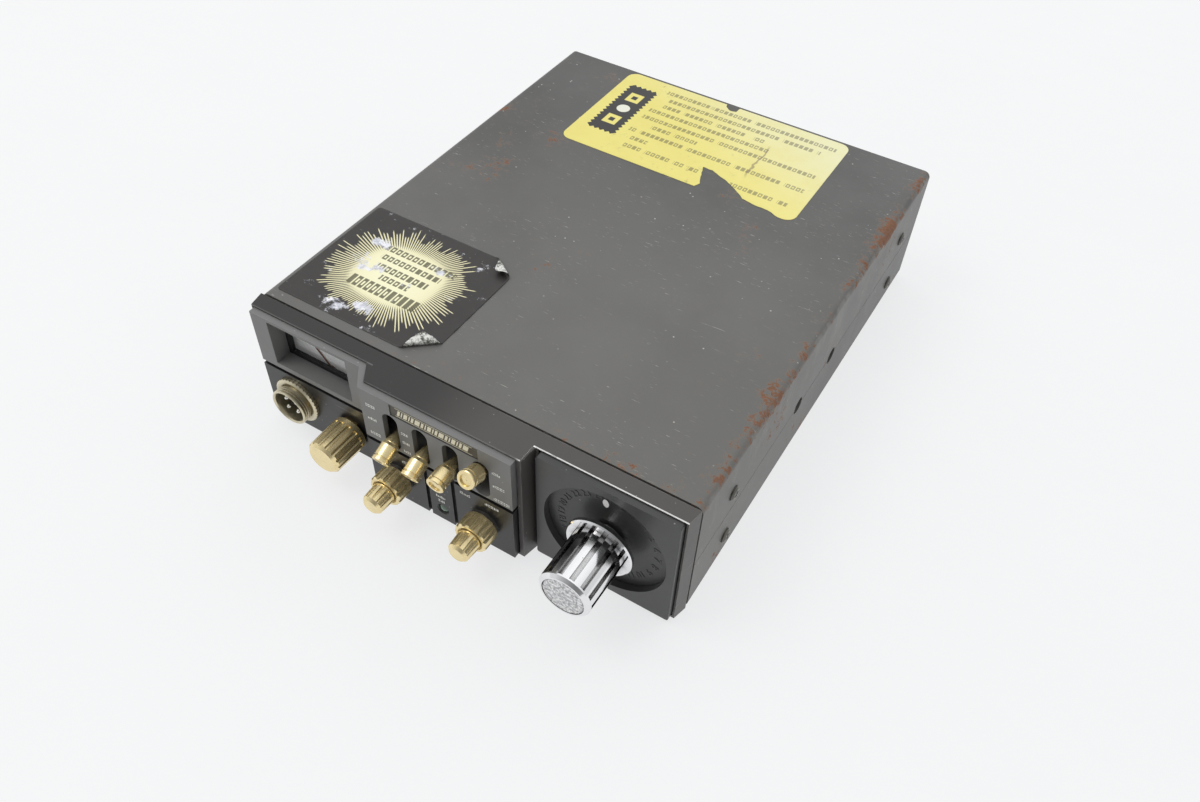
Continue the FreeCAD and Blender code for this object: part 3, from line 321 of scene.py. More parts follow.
def plain_moulding(name, color, rough, coat=0.0, grit=0.3):
    """Moulded or sprayed part with a fine skin and painted shade, with a little grime, in its corners."""
    s = Shader(name)
    cloud = s.noise(110, 5, 0.6)
    tone = s.mix(cloud, color, tuple(0.75 * c for c in color))
    # Painted shade, with a little grime, where faces meet.
    tone = s.mix(painted_corner_shade(s, 0.6), tone, tuple(0.3 * c for c in color))
    edge = s.both(s.worn_edges(0.2 * MM), s.step(s.noise(500, 4, 0.7), 0.4, 0.6))
    tone = s.mix(s.both(edge, 0.25), tone, tuple(min(1.0, 2.0 * c + 0.05) for c in color))
    return s.surface(color=tone, rough=s.blend(cloud, rough - 0.05, rough + 0.1), coat=coat,
                     normal=s.bump(s.noise(1800, 4, 0.6), grit, 0.04 * MM))


def screw_black():
    """Blackened steel, rubbed bright on the edges of head and recess, with a trace of rust."""
    s = Shader("screw_black")
    edge = s.both(s.worn_edges(0.3 * MM), s.step(s.noise(700, 4, 0.7), 0.35, 0.6))
    rust = s.step(s.noise(600, 6, 0.75), 0.58, 0.68)
    color = s.mix(s.noise(300, 4, 0.6), (0.07, 0.068, 0.062), (0.17, 0.165, 0.15))
    color = s.mix(s.both(rust, 0.5), color, (0.17, 0.07, 0.03))
    color = s.mix(s.both(edge, 0.5), color, (0.45, 0.44, 0.42))
    return s.surface(color=color, metal=0.7, rough=s.blend(rust, 0.34, 0.7),
                     normal=s.bump(s.noise(1500, 4, 0.6), 0.3, 0.04 * MM))


def strip_metal():
    """Dark anodised strip with fine grain along its length."""
    s = Shader("strip_metal")
    grain = s.noise(1.0, 4, 0.6, s.stretched((25, 1500, 4200)))
    color = s.mix(s.step(grain, 0.3, 0.7), (0.055, 0.050, 0.042), (0.135, 0.125, 0.105))
    return s.surface(color=color, metal=1.0, rough=0.38, normal=s.bump(grain, 0.5, 0.03 * MM))


def green_lamp():
    s = Shader("green_lamp")
    core = s.noise(500, 3, 0.6)
    color = s.mix(core, (0.004, 0.035, 0.014), (0.01, 0.10, 0.035))
    return s.surface(color=color, rough=0.12, coat=0.8, coat_rough=0.05, specular=0.6,
                     normal=s.bump(core, 0.1, 0.03 * MM))


def clear_window():
    """Thin clear window that lets light straight through, with dust on it."""
    s = Shader("clear_window")
    outside = s.invert(s.add("ShaderNodeNewGeometry").outputs["Backfacing"])
    shine = s.both(s.add("ShaderNodeFresnel", {"IOR": 1.35}).outputs[0], outside)
    dust = s.both(s.step(s.noise(260, 6, 0.7), 0.55, 0.8), 0.12)
    clear = s.add("ShaderNodeBsdfTransparent").outputs[0]
    gloss = s.add("ShaderNodeBsdfGlossy", {"Roughness": s.blend(s.noise(60, 3, 0.5), 0.02, 0.08)}).outputs[0]
    haze = s.add("ShaderNodeBsdfDiffuse", {"Color": (0.5, 0.5, 0.48)}).outputs[0]
    mirror = s.add("ShaderNodeMixShader", {0: shine, 1: clear, 2: gloss}).outputs[0]
    whole = s.add("ShaderNodeMixShader", {0: dust, 1: mirror, 2: haze}).outputs[0]
    s.tree.links.new(whole, s.output.inputs[0])
    return s.material


def meter_face():
    """Pale printed plate, unevenly faded, with a faint painted glow that stands in for light reaching it."""
    s = Shader("meter_face")
    tone_shift = s.noise(50, 3, 0.5)
    color = s.mix(tone_shift, (0.74, 0.75, 0.74), (0.64, 0.65, 0.63))
    # Painted glow: the plate emits a little light though nothing lights it.
    return s.surface(color=color, glow=color, glow_strength=0.10, rough=s.blend(tone_shift, 0.5, 0.65),
                     normal=s.bump(s.noise(2500, 3), 0.1, 0.02 * MM))


def circuit_board():
    """Green solder resist over copper tracks."""
    s = Shader("circuit_board")
    low = s.math("MODULO", s.math("ADD", s.axis("X"), 1.0), 5 * MM)
    track = s.step(s.math("ABSOLUTE", s.math("SUBTRACT", low, 2.5 * MM)), 0.5 * MM, 0.6 * MM, 1.0, 0.0)
    routed = s.both(track, s.step(s.noise(28, 2, 0.5), 0.48, 0.5))
    color = s.mix(routed, (0.012, 0.075, 0.028), (0.04, 0.19, 0.07))
    dot, pick = s.specks(260, 0.22)
    pads = s.both(dot, s.step(pick, 0.6, 0.62))
    color = s.mix(pads, color, (0.62, 0.60, 0.56))
    height = s.math("ADD", routed, pads)
    return s.surface(color=color, rough=s.blend(s.noise(200, 3), 0.24, 0.38), metal=s.both(pads, 0.8),
                     normal=s.bump(height, 0.4, 0.03 * MM))


def capacitor_sleeve():
    s = Shader("capacitor_sleeve")
    ring = s.noise(1.0, 2, 0.5, s.stretched((6, 6, 900)))
    top = s.step(s.axis("Z", s.add("ShaderNodeNewGeometry").outputs["Normal"]), 0.8, 0.9)
    color = s.mix(s.noise(160, 4), (0.015, 0.030, 0.085), (0.03, 0.05, 0.13))
    color = s.mix(top, color, (0.6, 0.6, 0.6))
    return s.surface(color=color, metal=top, rough=s.blend(top, 0.28, 0.4),
                     normal=s.bump(ring, 0.2, 0.03 * MM))


def doped_paper():
    s = Shader("doped_paper")
    fibre = s.noise(1100, 8, 0.8)
    rings = s.noise(180, 3, 0.5)
    color = s.mix(fibre, (0.022, 0.019, 0.016), (0.06, 0.052, 0.045))
    return s.surface(color=color, rough=s.blend(rings, 0.75, 0.9), normal=s.bump(fibre, 0.6, 0.1 * MM))


def printed_ink(name, color, glow=0.0):
    """Screen-printed paint with a slightly broken edge."""
    s = Shader(name)
    thin = s.step(s.noise(1500, 4, 0.7), 0.5, 0.75)
    tone = s.mix(s.both(thin, 0.5), color, tuple(0.45 * c for c in color))
    return s.surface(color=tone, rough=s.blend(thin, 0.5, 0.65), glow=tone, glow_strength=glow,
                     normal=s.bump(s.noise(3000, 2), 0.2, 0.01 * MM))


def rectangle(s, x, y, left, right, low, high, soft=0.2 * MM):
    """1 inside a rectangle of the sticker's plane."""
    across = s.both(s.step(x, left - soft, left + soft), s.step(x, right - soft, right + soft, 1.0, 0.0))
    along = s.both(s.step(y, low - soft, low + soft), s.step(y, high - soft, high + soft, 1.0, 0.0))
    return s.both(across, along)


def zigzag(s, value, pitch):
    """A 0 to 1 sawtooth line of equal slopes."""
    return s.math("PINGPONG", s.math("DIVIDE", value, pitch / 2), 1.0)


def block_print(s, x, y, rows, row_height, cell):
    """Rows of plain blocks, some of them hollow, in place of text."""
    column = s.math("FLOOR", s.math("DIVIDE", x, cell))
    within = s.math("FRACT", s.math("DIVIDE", s.math("ADD", x, 1.0), cell))
    gap = s.both(s.step(within, 0.06, 0.14), s.step(within, 0.80, 0.90, 1.0, 0.0))
    core = s.both(s.step(within, 0.28, 0.36), s.step(within, 0.58, 0.66, 1.0, 0.0))
    ink = None
    for index, (middle, left, right) in enumerate(rows):
        line = rectangle(s, x, y, left, right, middle - row_height / 2, middle + row_height / 2)
        key = s.add("ShaderNodeCombineXYZ", {0: column, 1: float(index)}).outputs[0]
        chance = s.add("ShaderNodeTexWhiteNoise", {"Vector": key}, noise_dimensions="3D").outputs["Value"]
        line = s.both(line, s.step(chance, 0.10, 0.12))
        low = middle - row_height * 0.22
        high = middle + row_height * 0.22
        hole = rectangle(s, x, y, left, right, low, high, 0.15 * MM)
        hollow = s.both(s.both(hole, core), s.step(chance, 0.55, 0.57))
        line = s.both(line, s.invert(hollow))
        ink = line if ink is None else s.either(ink, line)
    return s.both(ink, gap)


def yellow_vinyl():
    """Yellow label: rows of blocks, a dark panel with serrated edges, creases and dirt."""
    s = Shader("yellow_vinyl")
    x, y = s.axis("X"), s.axis("Y")
    rows = [(201, -33, 50), (195.3, -29, 45), (189.7, -29, 21), (184, -33, 26), (177.8, -33, 50),
            (172, -29, -3), (166, -33, 50), (160.2, -29, -21), (154, -29, 7), (153.6, 22, 48)]
    rows = [tuple(value * MM for value in row) for row in rows]
    ink = s.both(block_print(s, x, y, rows, 2.6 * MM, 2.3 * MM), 0.60)
    tooth = s.both(zigzag(s, s.math("ADD", y, 1.0), 2.6 * MM), 1.3 * MM)
    wavy_x = s.math("ADD", s.math("ABSOLUTE", s.math("ADD", x, 43.3 * MM)), tooth)
    tooth = s.both(zigzag(s, s.math("ADD", x, 1.0), 2.6 * MM), 1.3 * MM)
    wavy_y = s.math("ADD", s.math("ABSOLUTE", s.math("SUBTRACT", y, 178 * MM)), tooth)
    panel = s.both(s.step(wavy_x, 7.3 * MM, 7.6 * MM, 1.0, 0.0),
                   s.step(wavy_y, 20.4 * MM, 20.7 * MM, 1.0, 0.0))
    holes = None
    for middle in (188.3, 168.0):
        outer = rectangle(s, x, y, -46.6 * MM, -40 * MM, (middle - 3.6) * MM, (middle + 3.6) * MM)
        inner = rectangle(s, x, y, -44.6 * MM, -42 * MM, (middle - 1.4) * MM, (middle + 1.4) * MM)
        frame_ring = s.both(outer, s.invert(inner))
        holes = frame_ring if holes is None else s.either(holes, frame_ring)
    away = s.add("ShaderNodeVectorMath", {0: s.place, 1: (-43.3 * MM, 178.2 * MM, CASE_TOP)},
                 operation="DISTANCE").outputs["Value"]
    disc = s.step(away, 2.9 * MM, 3.2 * MM, 1.0, 0.0)

    # Painted sheen: the yellow pales towards the rear right, as a reflection of the bright room.
    tone_shift = s.step(s.math("ADD", s.both(x, 0.6), y), 165 * MM, 235 * MM)
    yellow = s.mix(tone_shift, (0.80, 0.71, 0.19), (0.78, 0.76, 0.44))
    yellow = s.mix(s.both(s.step(s.noise(55, 6, 0.7), 0.4, 0.7), 0.3), yellow, (0.70, 0.60, 0.12))
    grime = s.both(s.step(s.noise(260, 7, 0.75), 0.56, 0.72), s.step(s.noise(24, 3, 0.5), 0.52, 0.68))
    worn = s.step(s.noise(420, 5, 0.7), 0.60, 0.70)
    color = s.mix(s.both(ink, s.invert(worn)), yellow, (0.035, 0.03, 0.02))
    color = s.mix(panel, color, (0.012, 0.011, 0.010))
    color = s.mix(s.both(holes, panel), color, yellow)
    color = s.mix(disc, color, (0.78, 0.78, 0.66))
    color = s.mix(s.both(grime, 0.6), color, (0.16, 0.12, 0.06))
    bend = s.both(s.math("SUBTRACT", s.noise(60, 4, 0.6), 0.5), 9 * MM)
    from_crack = s.math("ABSOLUTE", s.math("ADD", s.math("SUBTRACT", x, 25 * MM), bend))
    crack = s.step(from_crack, 0.25 * MM, 0.7 * MM, 1.0, 0.0)
    crack = s.both(crack, s.both(s.step(y, 160 * MM, 166 * MM), s.step(y, 184 * MM, 189 * MM, 1.0, 0.0)))
    color = s.mix(s.both(crack, 0.7), color, (0.22, 0.16, 0.08))
    wave = s.noise(28, 3, 0.5)
    height = s.math("SUBTRACT", s.both(wave, 4.0), s.both(crack, 0.5))
    return s.surface(color=color, rough=s.blend(s.noise(80, 5), 0.28, 0.42), coat=0.15,
                     normal=s.bump(height, 0.25, 0.35 * MM))


def burst_vinyl():
    """Black sticker with a pale burst of fine rays, plain blocks across it and silvery scuffs."""
    s = Shader("burst_vinyl")
    x, y = s.axis("X"), s.axis("Y")
    left = s.math("SUBTRACT", x, -54.5 * MM)
    up = s.math("SUBTRACT", y, 33 * MM)
    nx, ny = s.math("DIVIDE", left, 29.5 * MM), s.math("DIVIDE", up, 25.5 * MM)
    power = 2.7
    sum_of = s.math("ADD", s.math("POWER", s.math("ABSOLUTE", nx), power),
                    s.math("POWER", s.math("ABSOLUTE", ny), power))
    radius = s.math("POWER", sum_of, 1 / power)
    angle = s.math("DIVIDE", s.math("ARCTAN2", up, left), 2 * math.pi)
    turn = s.math("MULTIPLY", s.math("ADD", angle, 1.0), 132.0)
    sector = s.add("ShaderNodeCombineXYZ", {0: s.math("FLOOR", turn)}).outputs[0]
    chance = s.add("ShaderNodeTexWhiteNoise", {"Vector": sector}, noise_dimensions="3D").outputs["Value"]
    spike = s.math("PINGPONG", s.both(turn, 2.0), 1.0)
    group = s.noise(70, 2, 0.5)
    tip = s.both(s.step(chance, 0.0, 1.0, 0.84, 1.02), s.step(group, 0.3, 0.7, 0.92, 1.04))
    narrow = s.step(radius, 0.62, 1.0, 0.34, 0.66)
    ray = s.step(s.math("SUBTRACT", spike, narrow), 0.0, 0.14)
    ray = s.both(ray, s.step(s.math("SUBTRACT", tip, radius), 0.0, 0.05))
    core = s.step(s.math("SUBTRACT", s.math("ADD", s.both(spike, 0.14), 0.62), radius), 0.0, 0.10)
    burst = s.either(ray, core)
    between_rays = s.both(s.invert(spike), s.step(radius, 0.45, 0.78))
    bars = None
    for middle, half_long, height in ((44.2, 17, 3.0), (39.3, 13.5, 2.8), (34.1, 11.5, 3.2), (29.5, 6.5, 2.8),
                                      (23.3, 16, 5.4)):
        row = [(middle * MM, (-53.5 - half_long) * MM, (-53.5 + half_long) * MM)]
        bar = block_print(s, x, y, row, height * MM, 2.6 * MM)
        bars = bar if bars is None else s.either(bars, bar)
    glow = s.noise(46, 3, 0.5)
    outwards = s.step(s.math("ADD", radius, s.both(glow, 0.5)), 0.45, 1.1)
    cream = s.mix(outwards, (0.90, 0.88, 0.60), (0.84, 0.79, 0.50))
    cream = s.mix(s.both(between_rays, 0.55), cream, (0.30, 0.26, 0.10))
    black = s.mix(s.noise(90, 6, 0.7), (0.018, 0.016, 0.015), (0.036, 0.032, 0.030))
    color = s.mix(burst, black, cream)
    color = s.mix(s.both(bars, 0.88), color, (0.075, 0.070, 0.030))

    rough = s.blend(s.noise(1.0, 4, 0.6, s.stretched((120, 700, 120), (0, 0, 0.4))), 0.36, 0.52)
    scuff = None
    scuffs = ((-61.5, 9.5, 9, 1.2), (-53.5, 13.0, 9, -0.2), (-70, 34, 12, -0.6), (-73, 45, 7, 0.3),
              (-43, 43.5, 8, 0.6), (-68.5, 30.5, 7, 0.7))
    for at_x, at_y, size, turned in scuffs:
        place = s.stretched((1, 1, 1), (0, 0, 0), (-at_x * MM, -at_y * MM, -CASE_TOP))
        place = s.add("ShaderNodeMapping",
                      {"Vector": place, "Rotation": (0, 0, turned), "Scale": (0.7, 1.7, 1)})
        away = s.add("ShaderNodeVectorMath", {0: place.outputs[0]}, operation="LENGTH").outputs["Value"]
        near = s.step(away, 0.0, size * MM, 0.30, 0.0)
        scuff = near if scuff is None else s.either(scuff, near)
    uneven = s.math("SUBTRACT", s.both(s.noise(110, 8, 0.75), 1.6), 0.30)
    rubbed = s.step(s.math("ADD", scuff, uneven), 0.66, 0.80)
    fleck = s.noise(1.0, 4, 0.6, s.stretched((420, 900, 420), (0, 0, 0.7)))
    rubbed = s.either(rubbed, s.both(s.step(fleck, 0.70, 0.75), 0.4))
    silver = s.mix(s.step(s.noise(420, 5, 0.7), 0.35, 0.62), (0.50, 0.51, 0.58), (0.88, 0.88, 0.93))
    color = s.mix(rubbed, color, silver)
    rough = s.blend(rubbed, rough, 0.38)
    height = s.math("ADD", s.both(s.noise(70, 4), 3.0), s.both(rubbed, s.noise(500, 5, 0.7)))
    return s.surface(color=color, rough=rough, metal=s.both(rubbed, 0.2),
                     normal=s.bump(height, 0.30, 0.25 * MM))


def torn_backing():
    """Crumpled silver-white back of the peeling sticker."""
    s = Shader("torn_backing")
    crumple = s.noise(420, 7, 0.75)
    # Painted shade and reflection: black in the crumples' hollows, white on their crests.
    color = s.mix(s.step(crumple, 0.42, 0.58), (0.05, 0.048, 0.04), (0.82, 0.82, 0.78))
    return s.surface(color=color, rough=s.blend(crumple, 0.25, 0.6), metal=0.15,
                     normal=s.bump(crumple, 1.0, 0.9 * MM))


def white_cloth():
    """Pale floor cloth, lit from below so that shadows stay faint, with soft creases and marks."""
    s = Shader("white_cloth")
    folds = s.noise(3.0, 4, 0.5, s.stretched((1, 2.4, 1), (0, 0, 0.5)))
    fine = s.noise(14, 5, 0.6)
    mark = s.noise(1.0, 4, 0.5, s.stretched((14, 160, 14), (0, 0, 0.4)))
    marks = s.both(s.step(mark, 0.70, 0.78), s.step(s.noise(2.2, 2), 0.52, 0.62))
    color = s.mix(fine, (0.20, 0.20, 0.20), (0.185, 0.185, 0.186))
    color = s.mix(s.both(marks, 0.2), color, (0.12, 0.12, 0.12))
    height = s.math("ADD", folds, s.both(fine, 0.2))
    return s.surface(color=color, rough=0.75, specular=0.1, glow=(0.985, 0.992, 1.0), glow_strength=0.72,
                     normal=s.bump(height, 0.5, 12 * MM))


# ---------------------------------------------------------------- added pieces
def mesh_piece(name, builder, material, body="case"):
    """A piece made by a bmesh builder, painted, and riding on a CAD body."""
    mesh = bpy.data.meshes.new(name)
    bm = bmesh.new()
    builder(bm)
    bmesh.ops.recalc_face_normals(bm, faces=bm.faces)
    bm.to_mesh(mesh)
    bm.free()
    mesh.materials.append(material)
    piece = bpy.data.objects.new(name, mesh)
    bpy.context.scene.collection.objects.link(piece)
    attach(piece, body)
    return piece


def raise_outline(bm, points, lift):
    """A closed plate: a flat outline of 3-D points, thickened by the lift vector."""
    low = [bm.verts.new(point) for point in points]
    high = [bm.verts.new(Vector(point) + lift) for point in points]
    bm.faces.new(low)
    bm.faces.new(list(reversed(high)))
    for index in range(len(points)):
        after = (index + 1) % len(points)
        bm.faces.new((low[index], high[index], high[after], low[after]))


def corner_arc(x, y, r, start, steps=6):
    """Quarter arc about (x, y), counter-clockwise from the start angle in degrees."""
    points = []
    for index in range(steps + 1):
        angle = math.radians(start + 90 * index / steps)
        points.append((x + r * math.cos(angle), y + r * math.sin(angle)))
    return points


def ragged(points, pitch, jitter, chance):
    """The same path cut into short steps and shaken a little, as torn film is."""
    path = []
    for (x0, y0), (x1, y1) in zip(points, points[1:]):
        steps = max(1, int(math.hypot(x1 - x0, y1 - y0) / pitch))
        for index in range(steps):
            part = index / steps
            path.append((x0 + (x1 - x0) * part + chance.uniform(-jitter, jitter),
                         y0 + (y1 - y0) * part + chance.uniform(-jitter, jitter)))
    path.append(points[-1])
    return path


def yellow_label():
    """Label along the rear of the lid, torn at its front edge and nicked at its rear edge."""
    chance = random.Random(7)
    left, right, low, high, r = -55.5, 54.5, 144.4, 207.6, 4.5
    outline = corner_arc(left + r, low + r, r, 180)
    tear = [(10.5, low), (11.6, 147.2), (7.2, 158.6), (12, 158.2), (20, 155), (28, 150), (31, 147.6),
            (37, 146.4), (43, 146.2), (48, low)]
    outline += ragged(tear, 1.4, 0.22, chance)
    outline += corner_arc(right - r, low + r, r, 270)
    outline += corner_arc(right - r, high - r, r, 0)
    outline += ragged([(0.6, high), (0.4, 204.2), (-2.5, 203.6), (-5.4, 205.6), (-5.8, high)],
                      1.0, 0.12, chance)
    outline += corner_arc(left + r, high - r, r, 90)
    thick = 0.14 * MM
    base = CASE_TOP + 0.01 * MM

    def build(bm):
        raise_outline(bm, [(x * MM, y * MM, base) for x, y in outline], Vector((0, 0, thick)))

    return mesh_piece("yellow_label", build, yellow_vinyl())


def curled(x, y, start, end, radius):
    """Rolls a point of the sticker up and over when it lies to the right of the fold line.

    Returns the point and the direction its printed side then faces.
    """
    line = (Vector(end) - Vector(start)).normalized()
    outward = Vector((line.y, -line.x))
    past = (Vector((x, y)) - Vector(start)).dot(outward)
    if past <= 0:
        return Vector((x, y, 0.0)), Vector((0, 0, 1))
    turn = min(past / radius, math.pi)
    flat = past - turn * radius
    along = radius * math.sin(turn) - flat
    wrinkle = 0.5 * noise.noise(Vector((x * 0.5, y * 0.5, 3.0))) * min(1, past / 2)
    point = Vector((x + outward.x * (along - past), y + outward.y * (along - past),
                    radius * (1 - math.cos(turn)) + wrinkle))
    facing = Vector((-outward.x * math.sin(turn), -outward.y * math.sin(turn), math.cos(turn)))
    return point, facing


def burst_sticker():
    """Square sticker on the lid's front left corner, two of its corners peeling."""
    left, right, low, high = -87.0, -19.5, 4.2, 62.0
    columns, rows = 110, 96
    thick = 0.14
    folds = (((-19.0, 53.0), (-33.0, 62.6), 1.2), ((-34.0, 2.6), (-18.0, 16.2), 1.1))

    def sheet_point(column, row, lift):
        x = left + (right - left) * column / columns
        y = low + (high - low) * row / rows
        corner_r = 1.5
        dx = max(0.0, abs(x - (left + right) / 2) - (right - left) / 2 + corner_r)
        dy = max(0.0, abs(y - (low + high) / 2) - (high - low) / 2 + corner_r)
        overshoot = math.hypot(dx, dy) - corner_r
        if dx > 0 and dy > 0 and overshoot > 0:
            x -= math.copysign(overshoot * 0.7, x - (left + right) / 2)
            y -= math.copysign(overshoot * 0.7, y - (low + high) / 2)
        lifted = 0.0
        if right - x < 3 and 16 < y < 52:
            lifted = 0.12 * (3 - (right - x)) * max(0.0, noise.noise(Vector((0, y * 0.25, 0))) + 0.3)
        point, facing = Vector((x, y, 0.0)), Vector((0, 0, 1))
        for start, end, radius in folds:
            rolled, turned = curled(x, y, start, end, radius)
            if turned.z < 0.9999:
                point, facing = rolled, turned
        point += facing * lift + Vector((0, 0, 0.02 + lifted))
        return point * MM + Vector((0, 0, CASE_TOP))

    def build(bm):
        layers = []
        for lift in (0.0, thick):
            layers.append([[bm.verts.new(sheet_point(c, r, lift)) for c in range(columns + 1)]
                           for r in range(rows + 1)])
        bottom, top = layers
        for r in range(rows):
            for c in range(columns):
                bm.faces.new((top[r][c], top[r][c + 1], top[r + 1][c + 1], top[r + 1][c]))
                under = bm.faces.new((bottom[r][c], bottom[r + 1][c], bottom[r + 1][c + 1], bottom[r][c + 1]))
                under.material_index = 1
        border = [(0, c) for c in range(columns)] + [(r, columns) for r in range(rows)]
        border += [(rows, c) for c in range(columns, 0, -1)] + [(r, 0) for r in range(rows, 0, -1)]
        for (r0, c0), (r1, c1) in zip(border, border[1:] + border[:1]):
            bm.faces.new((bottom[r0][c0], bottom[r1][c1], top[r1][c1], top[r0][c0]))

    piece = mesh_piece("burst_sticker", build, burst_vinyl())
    piece.data.materials.append(torn_backing())
    for face in piece.data.polygons:
        face.use_smooth = True
    return piece


def print_slabs(name, slabs, face_y, material, body="case"):
    """Thin printed slabs on a front face; each slab is (left, low, width, height, slant) in millimetres."""
    def build(bm):
        for left, low, width, height, slant in slabs:
            corners = [(left, low), (left + width, low), (left + width + slant, low + height),
                       (left + slant, low + height)]
            outline = [(x * MM, face_y, z * MM) for x, z in corners]
            raise_outline(bm, outline, Vector((0, -PRINT_THICK, 0)))

    return mesh_piece(name, build, material, body)


def word(chance, left, low, width, height):
    """Short strokes side by side that only stand in for a printed word."""
    slabs = []
    x = left
    while x < left + width - 0.5:
        stroke = chance.choice((0.28, 0.36, 0.5))
        kind = chance.randrange(3)
        if kind == 0:
            slabs.append((x, low, stroke, height, 0))
        elif kind == 1:
            slabs.append((x, low, stroke * 2, height * 0.28, 0))
            slabs.append((x, low + height * 0.66, stroke * 2, height * 0.34, 0))
            stroke *= 2
        else:
            slabs.append((x, low, stroke, height * 0.7, 0))
        x += stroke + 0.3
    return slabs


def tick_ring(centre_x, centre_z, inner, outer, first, last, count):
    """Radial ticks round a knob, as thin slabs; angles run clockwise from straight up."""
    ticks = []
    for index in range(count):
        angle = math.radians(first + (last - first) * index / (count - 1))
        side, up = math.sin(angle), math.cos(angle)
        ticks.append([(centre_x + r * side + w * up, centre_z + r * up - w * side)
                      for r, w in ((inner, -0.14), (inner, 0.14), (outer, 0.14), (outer, -0.14))])
    return ticks


def print_shapes(name, shapes, face_y, material, body="case"):
    """Printed shapes on a front face, each given by its (x, z) corners in millimetres."""
    def build(bm):
        for corners in shapes:
            outline = [(x * MM, face_y, z * MM) for x, z in corners]
            raise_outline(bm, outline, Vector((0, -PRINT_THICK, 0)))

    return mesh_piece(name, build, material, body)


def front_legends():
    """Small printed marks beside the switches and knobs."""
    ink = printed_ink("legend_ink", INK)
    chance = random.Random(21)
    block = []
    for low, width in ((47.6, 4.6), (41.0, 4.2), (33.4, 4.6)):
        block += word(chance, -29.0, low, width, 1.25)
    for low, width in ((41.6, 3.4), (37.0, 3.2), (32.4, 3.4)):
        block += word(chance, -14.6, low, width, 1.1)
    for low, width in ((45.8, 3.6), (39.0, 5.0), (32.0, 6.6)):
        block += word(chance, 23.0, low, width, 1.25)
    print_slabs("lever_legends", block, LEVER_BLOCK_FACE, ink)

    lower = []
    for left, low, width in ((-16.5, 25.3, 4.0), (-2.6, 16.0, 4.4), (-1.8, 13.6, 3.0), (8.6, 25.6, 4.2),
                             (19.0, 26.2, 6.0)):
        lower += word(chance, left, low, width, 1.2)
    print_slabs("knob_legends", lower, LEVER_BLOCK_FACE, ink)


def strip_bars():
    """Row of plain slanted bars on the strip, between two fine rules."""
    low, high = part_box("name_strip")
    left, right = low.x / MM + 2.2, high.x / MM - 2.2
    slabs = [(left, low.z / MM + 0.7, right - left, 0.18, 0),
             (left, high.z / MM - 0.9, right - left, 0.18, 0)]
    x = left + 0.6
    widths = (1.0, 0.5, 1.5, 0.5, 1.0, 2.0)
    index = 0
    while x < right - 3.4:
        width = widths[index % len(widths)]
        slabs.append((x, low.z / MM + 1.4, width, 2.5, 0.7))
        x += width + 0.55
        index += 1
    print_slabs("strip_bars", slabs, low.y, printed_ink("strip_ink", (0.75, 0.70, 0.52)))


def text_mesh(text, size):
    """Raised figures, upright in the front plane and centred on the origin."""
    curve = bpy.data.curves.new("figures", "FONT")
    curve.body = text
    curve.size = size
    curve.extrude = PRINT_THICK / 2
    curve.align_x = "CENTER"
    curve.align_y = "CENTER"
    carrier = bpy.data.objects.new("figures", curve)
    bpy.context.scene.collection.objects.link(carrier)
    bpy.context.view_layer.update()
    mesh = bpy.data.meshes.new_from_object(carrier.evaluated_get(bpy.context.evaluated_depsgraph_get()))
    bpy.data.objects.remove(carrier)
    mesh.transform(Matrix.Rotation(math.pi / 2, 4, "X"))
    return mesh


def joined_meshes(name, meshes, material, body):
    bm = bmesh.new()
    for mesh in meshes:
        bm.from_mesh(mesh)
    bmesh.ops.remove_doubles(bm, verts=bm.verts, dist=1e-7)
    whole = bpy.data.meshes.new(name)
    bm.to_mesh(whole)
    bm.free()
    whole.materials.clear()
    whole.materials.append(material)
    piece = bpy.data.objects.new(name, whole)
    bpy.context.scene.collection.objects.link(piece)
    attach(piece, body)
    return piece


def dial_figures():
    """Channel numbers round the turning dial."""
    low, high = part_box("channel_dial")
    centre = (low + high) / 2
    count = 24
    circle = 18.3 * MM
    meshes = []
    for index in range(count):
        angle = 2 * math.pi * index / count
        mesh = text_mesh(str(index + 1), 4.0 * MM)
        place = Matrix.Translation((centre.x, low.y + 0.02 * MM, centre.z))
        turn = Matrix.Rotation(angle, 4, "Y")
        mesh.transform(place @ turn @ Matrix.Translation((0, 0, circle)))
        meshes.append(mesh)
    joined_meshes("dial_figures", meshes, polished_black("dial_ink", (0.060, 0.060, 0.062), 0.36), "channel")


def dial_index():
    """White index mark near the top of the dial."""
    low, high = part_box("channel_dial")
    centre = (low + high) / 2
    across, tall, reach, lean = 1.15, 1.9, 16.3, math.radians(-5.6)
    corners = []
    for step in range(20):
        angle = 2 * math.pi * step / 20
        side, up = across * math.cos(angle), reach + tall * math.sin(angle)
        corners.append((centre.x / MM + side * math.cos(lean) + up * math.sin(lean),
                        centre.z / MM + up * math.cos(lean) - side * math.sin(lean)))
    paint_white = printed_ink("index_paint", (0.86, 0.86, 0.84))
    print_shapes("dial_index", [corners], low.y + 0.02 * MM, paint_white, "channel")


def meter_print():
    """Arc of ticks with a few figures on the meter's plate."""
    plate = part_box("meter_scale")[0].y
    pivot_x, pivot_z = -61.8, 31.6
    ink = printed_ink("meter_ink", (0.02, 0.02, 0.025))
    ticks = tick_ring(pivot_x, pivot_z, 15.2, 16.4, -40, 40, 17)
    ticks += tick_ring(pivot_x, pivot_z, 15.2, 17.2, -40, 40, 5)
    print_shapes("meter_ticks", ticks, plate, ink)
    meshes = []
    for index, figure in enumerate(("1", "3", "5", "7", "9")):
        angle = math.radians(-40 + 20 * index)
        mesh = text_mesh(figure, 2.3 * MM)
        at = Vector((pivot_x * MM + 18.6 * MM * math.sin(angle), plate - PRINT_THICK / 2,
                     pivot_z * MM + 18.6 * MM * math.cos(angle)))
        mesh.transform(Matrix.Translation(at))
        meshes.append(mesh)
    joined_meshes("meter_figures", meshes, ink, "case")


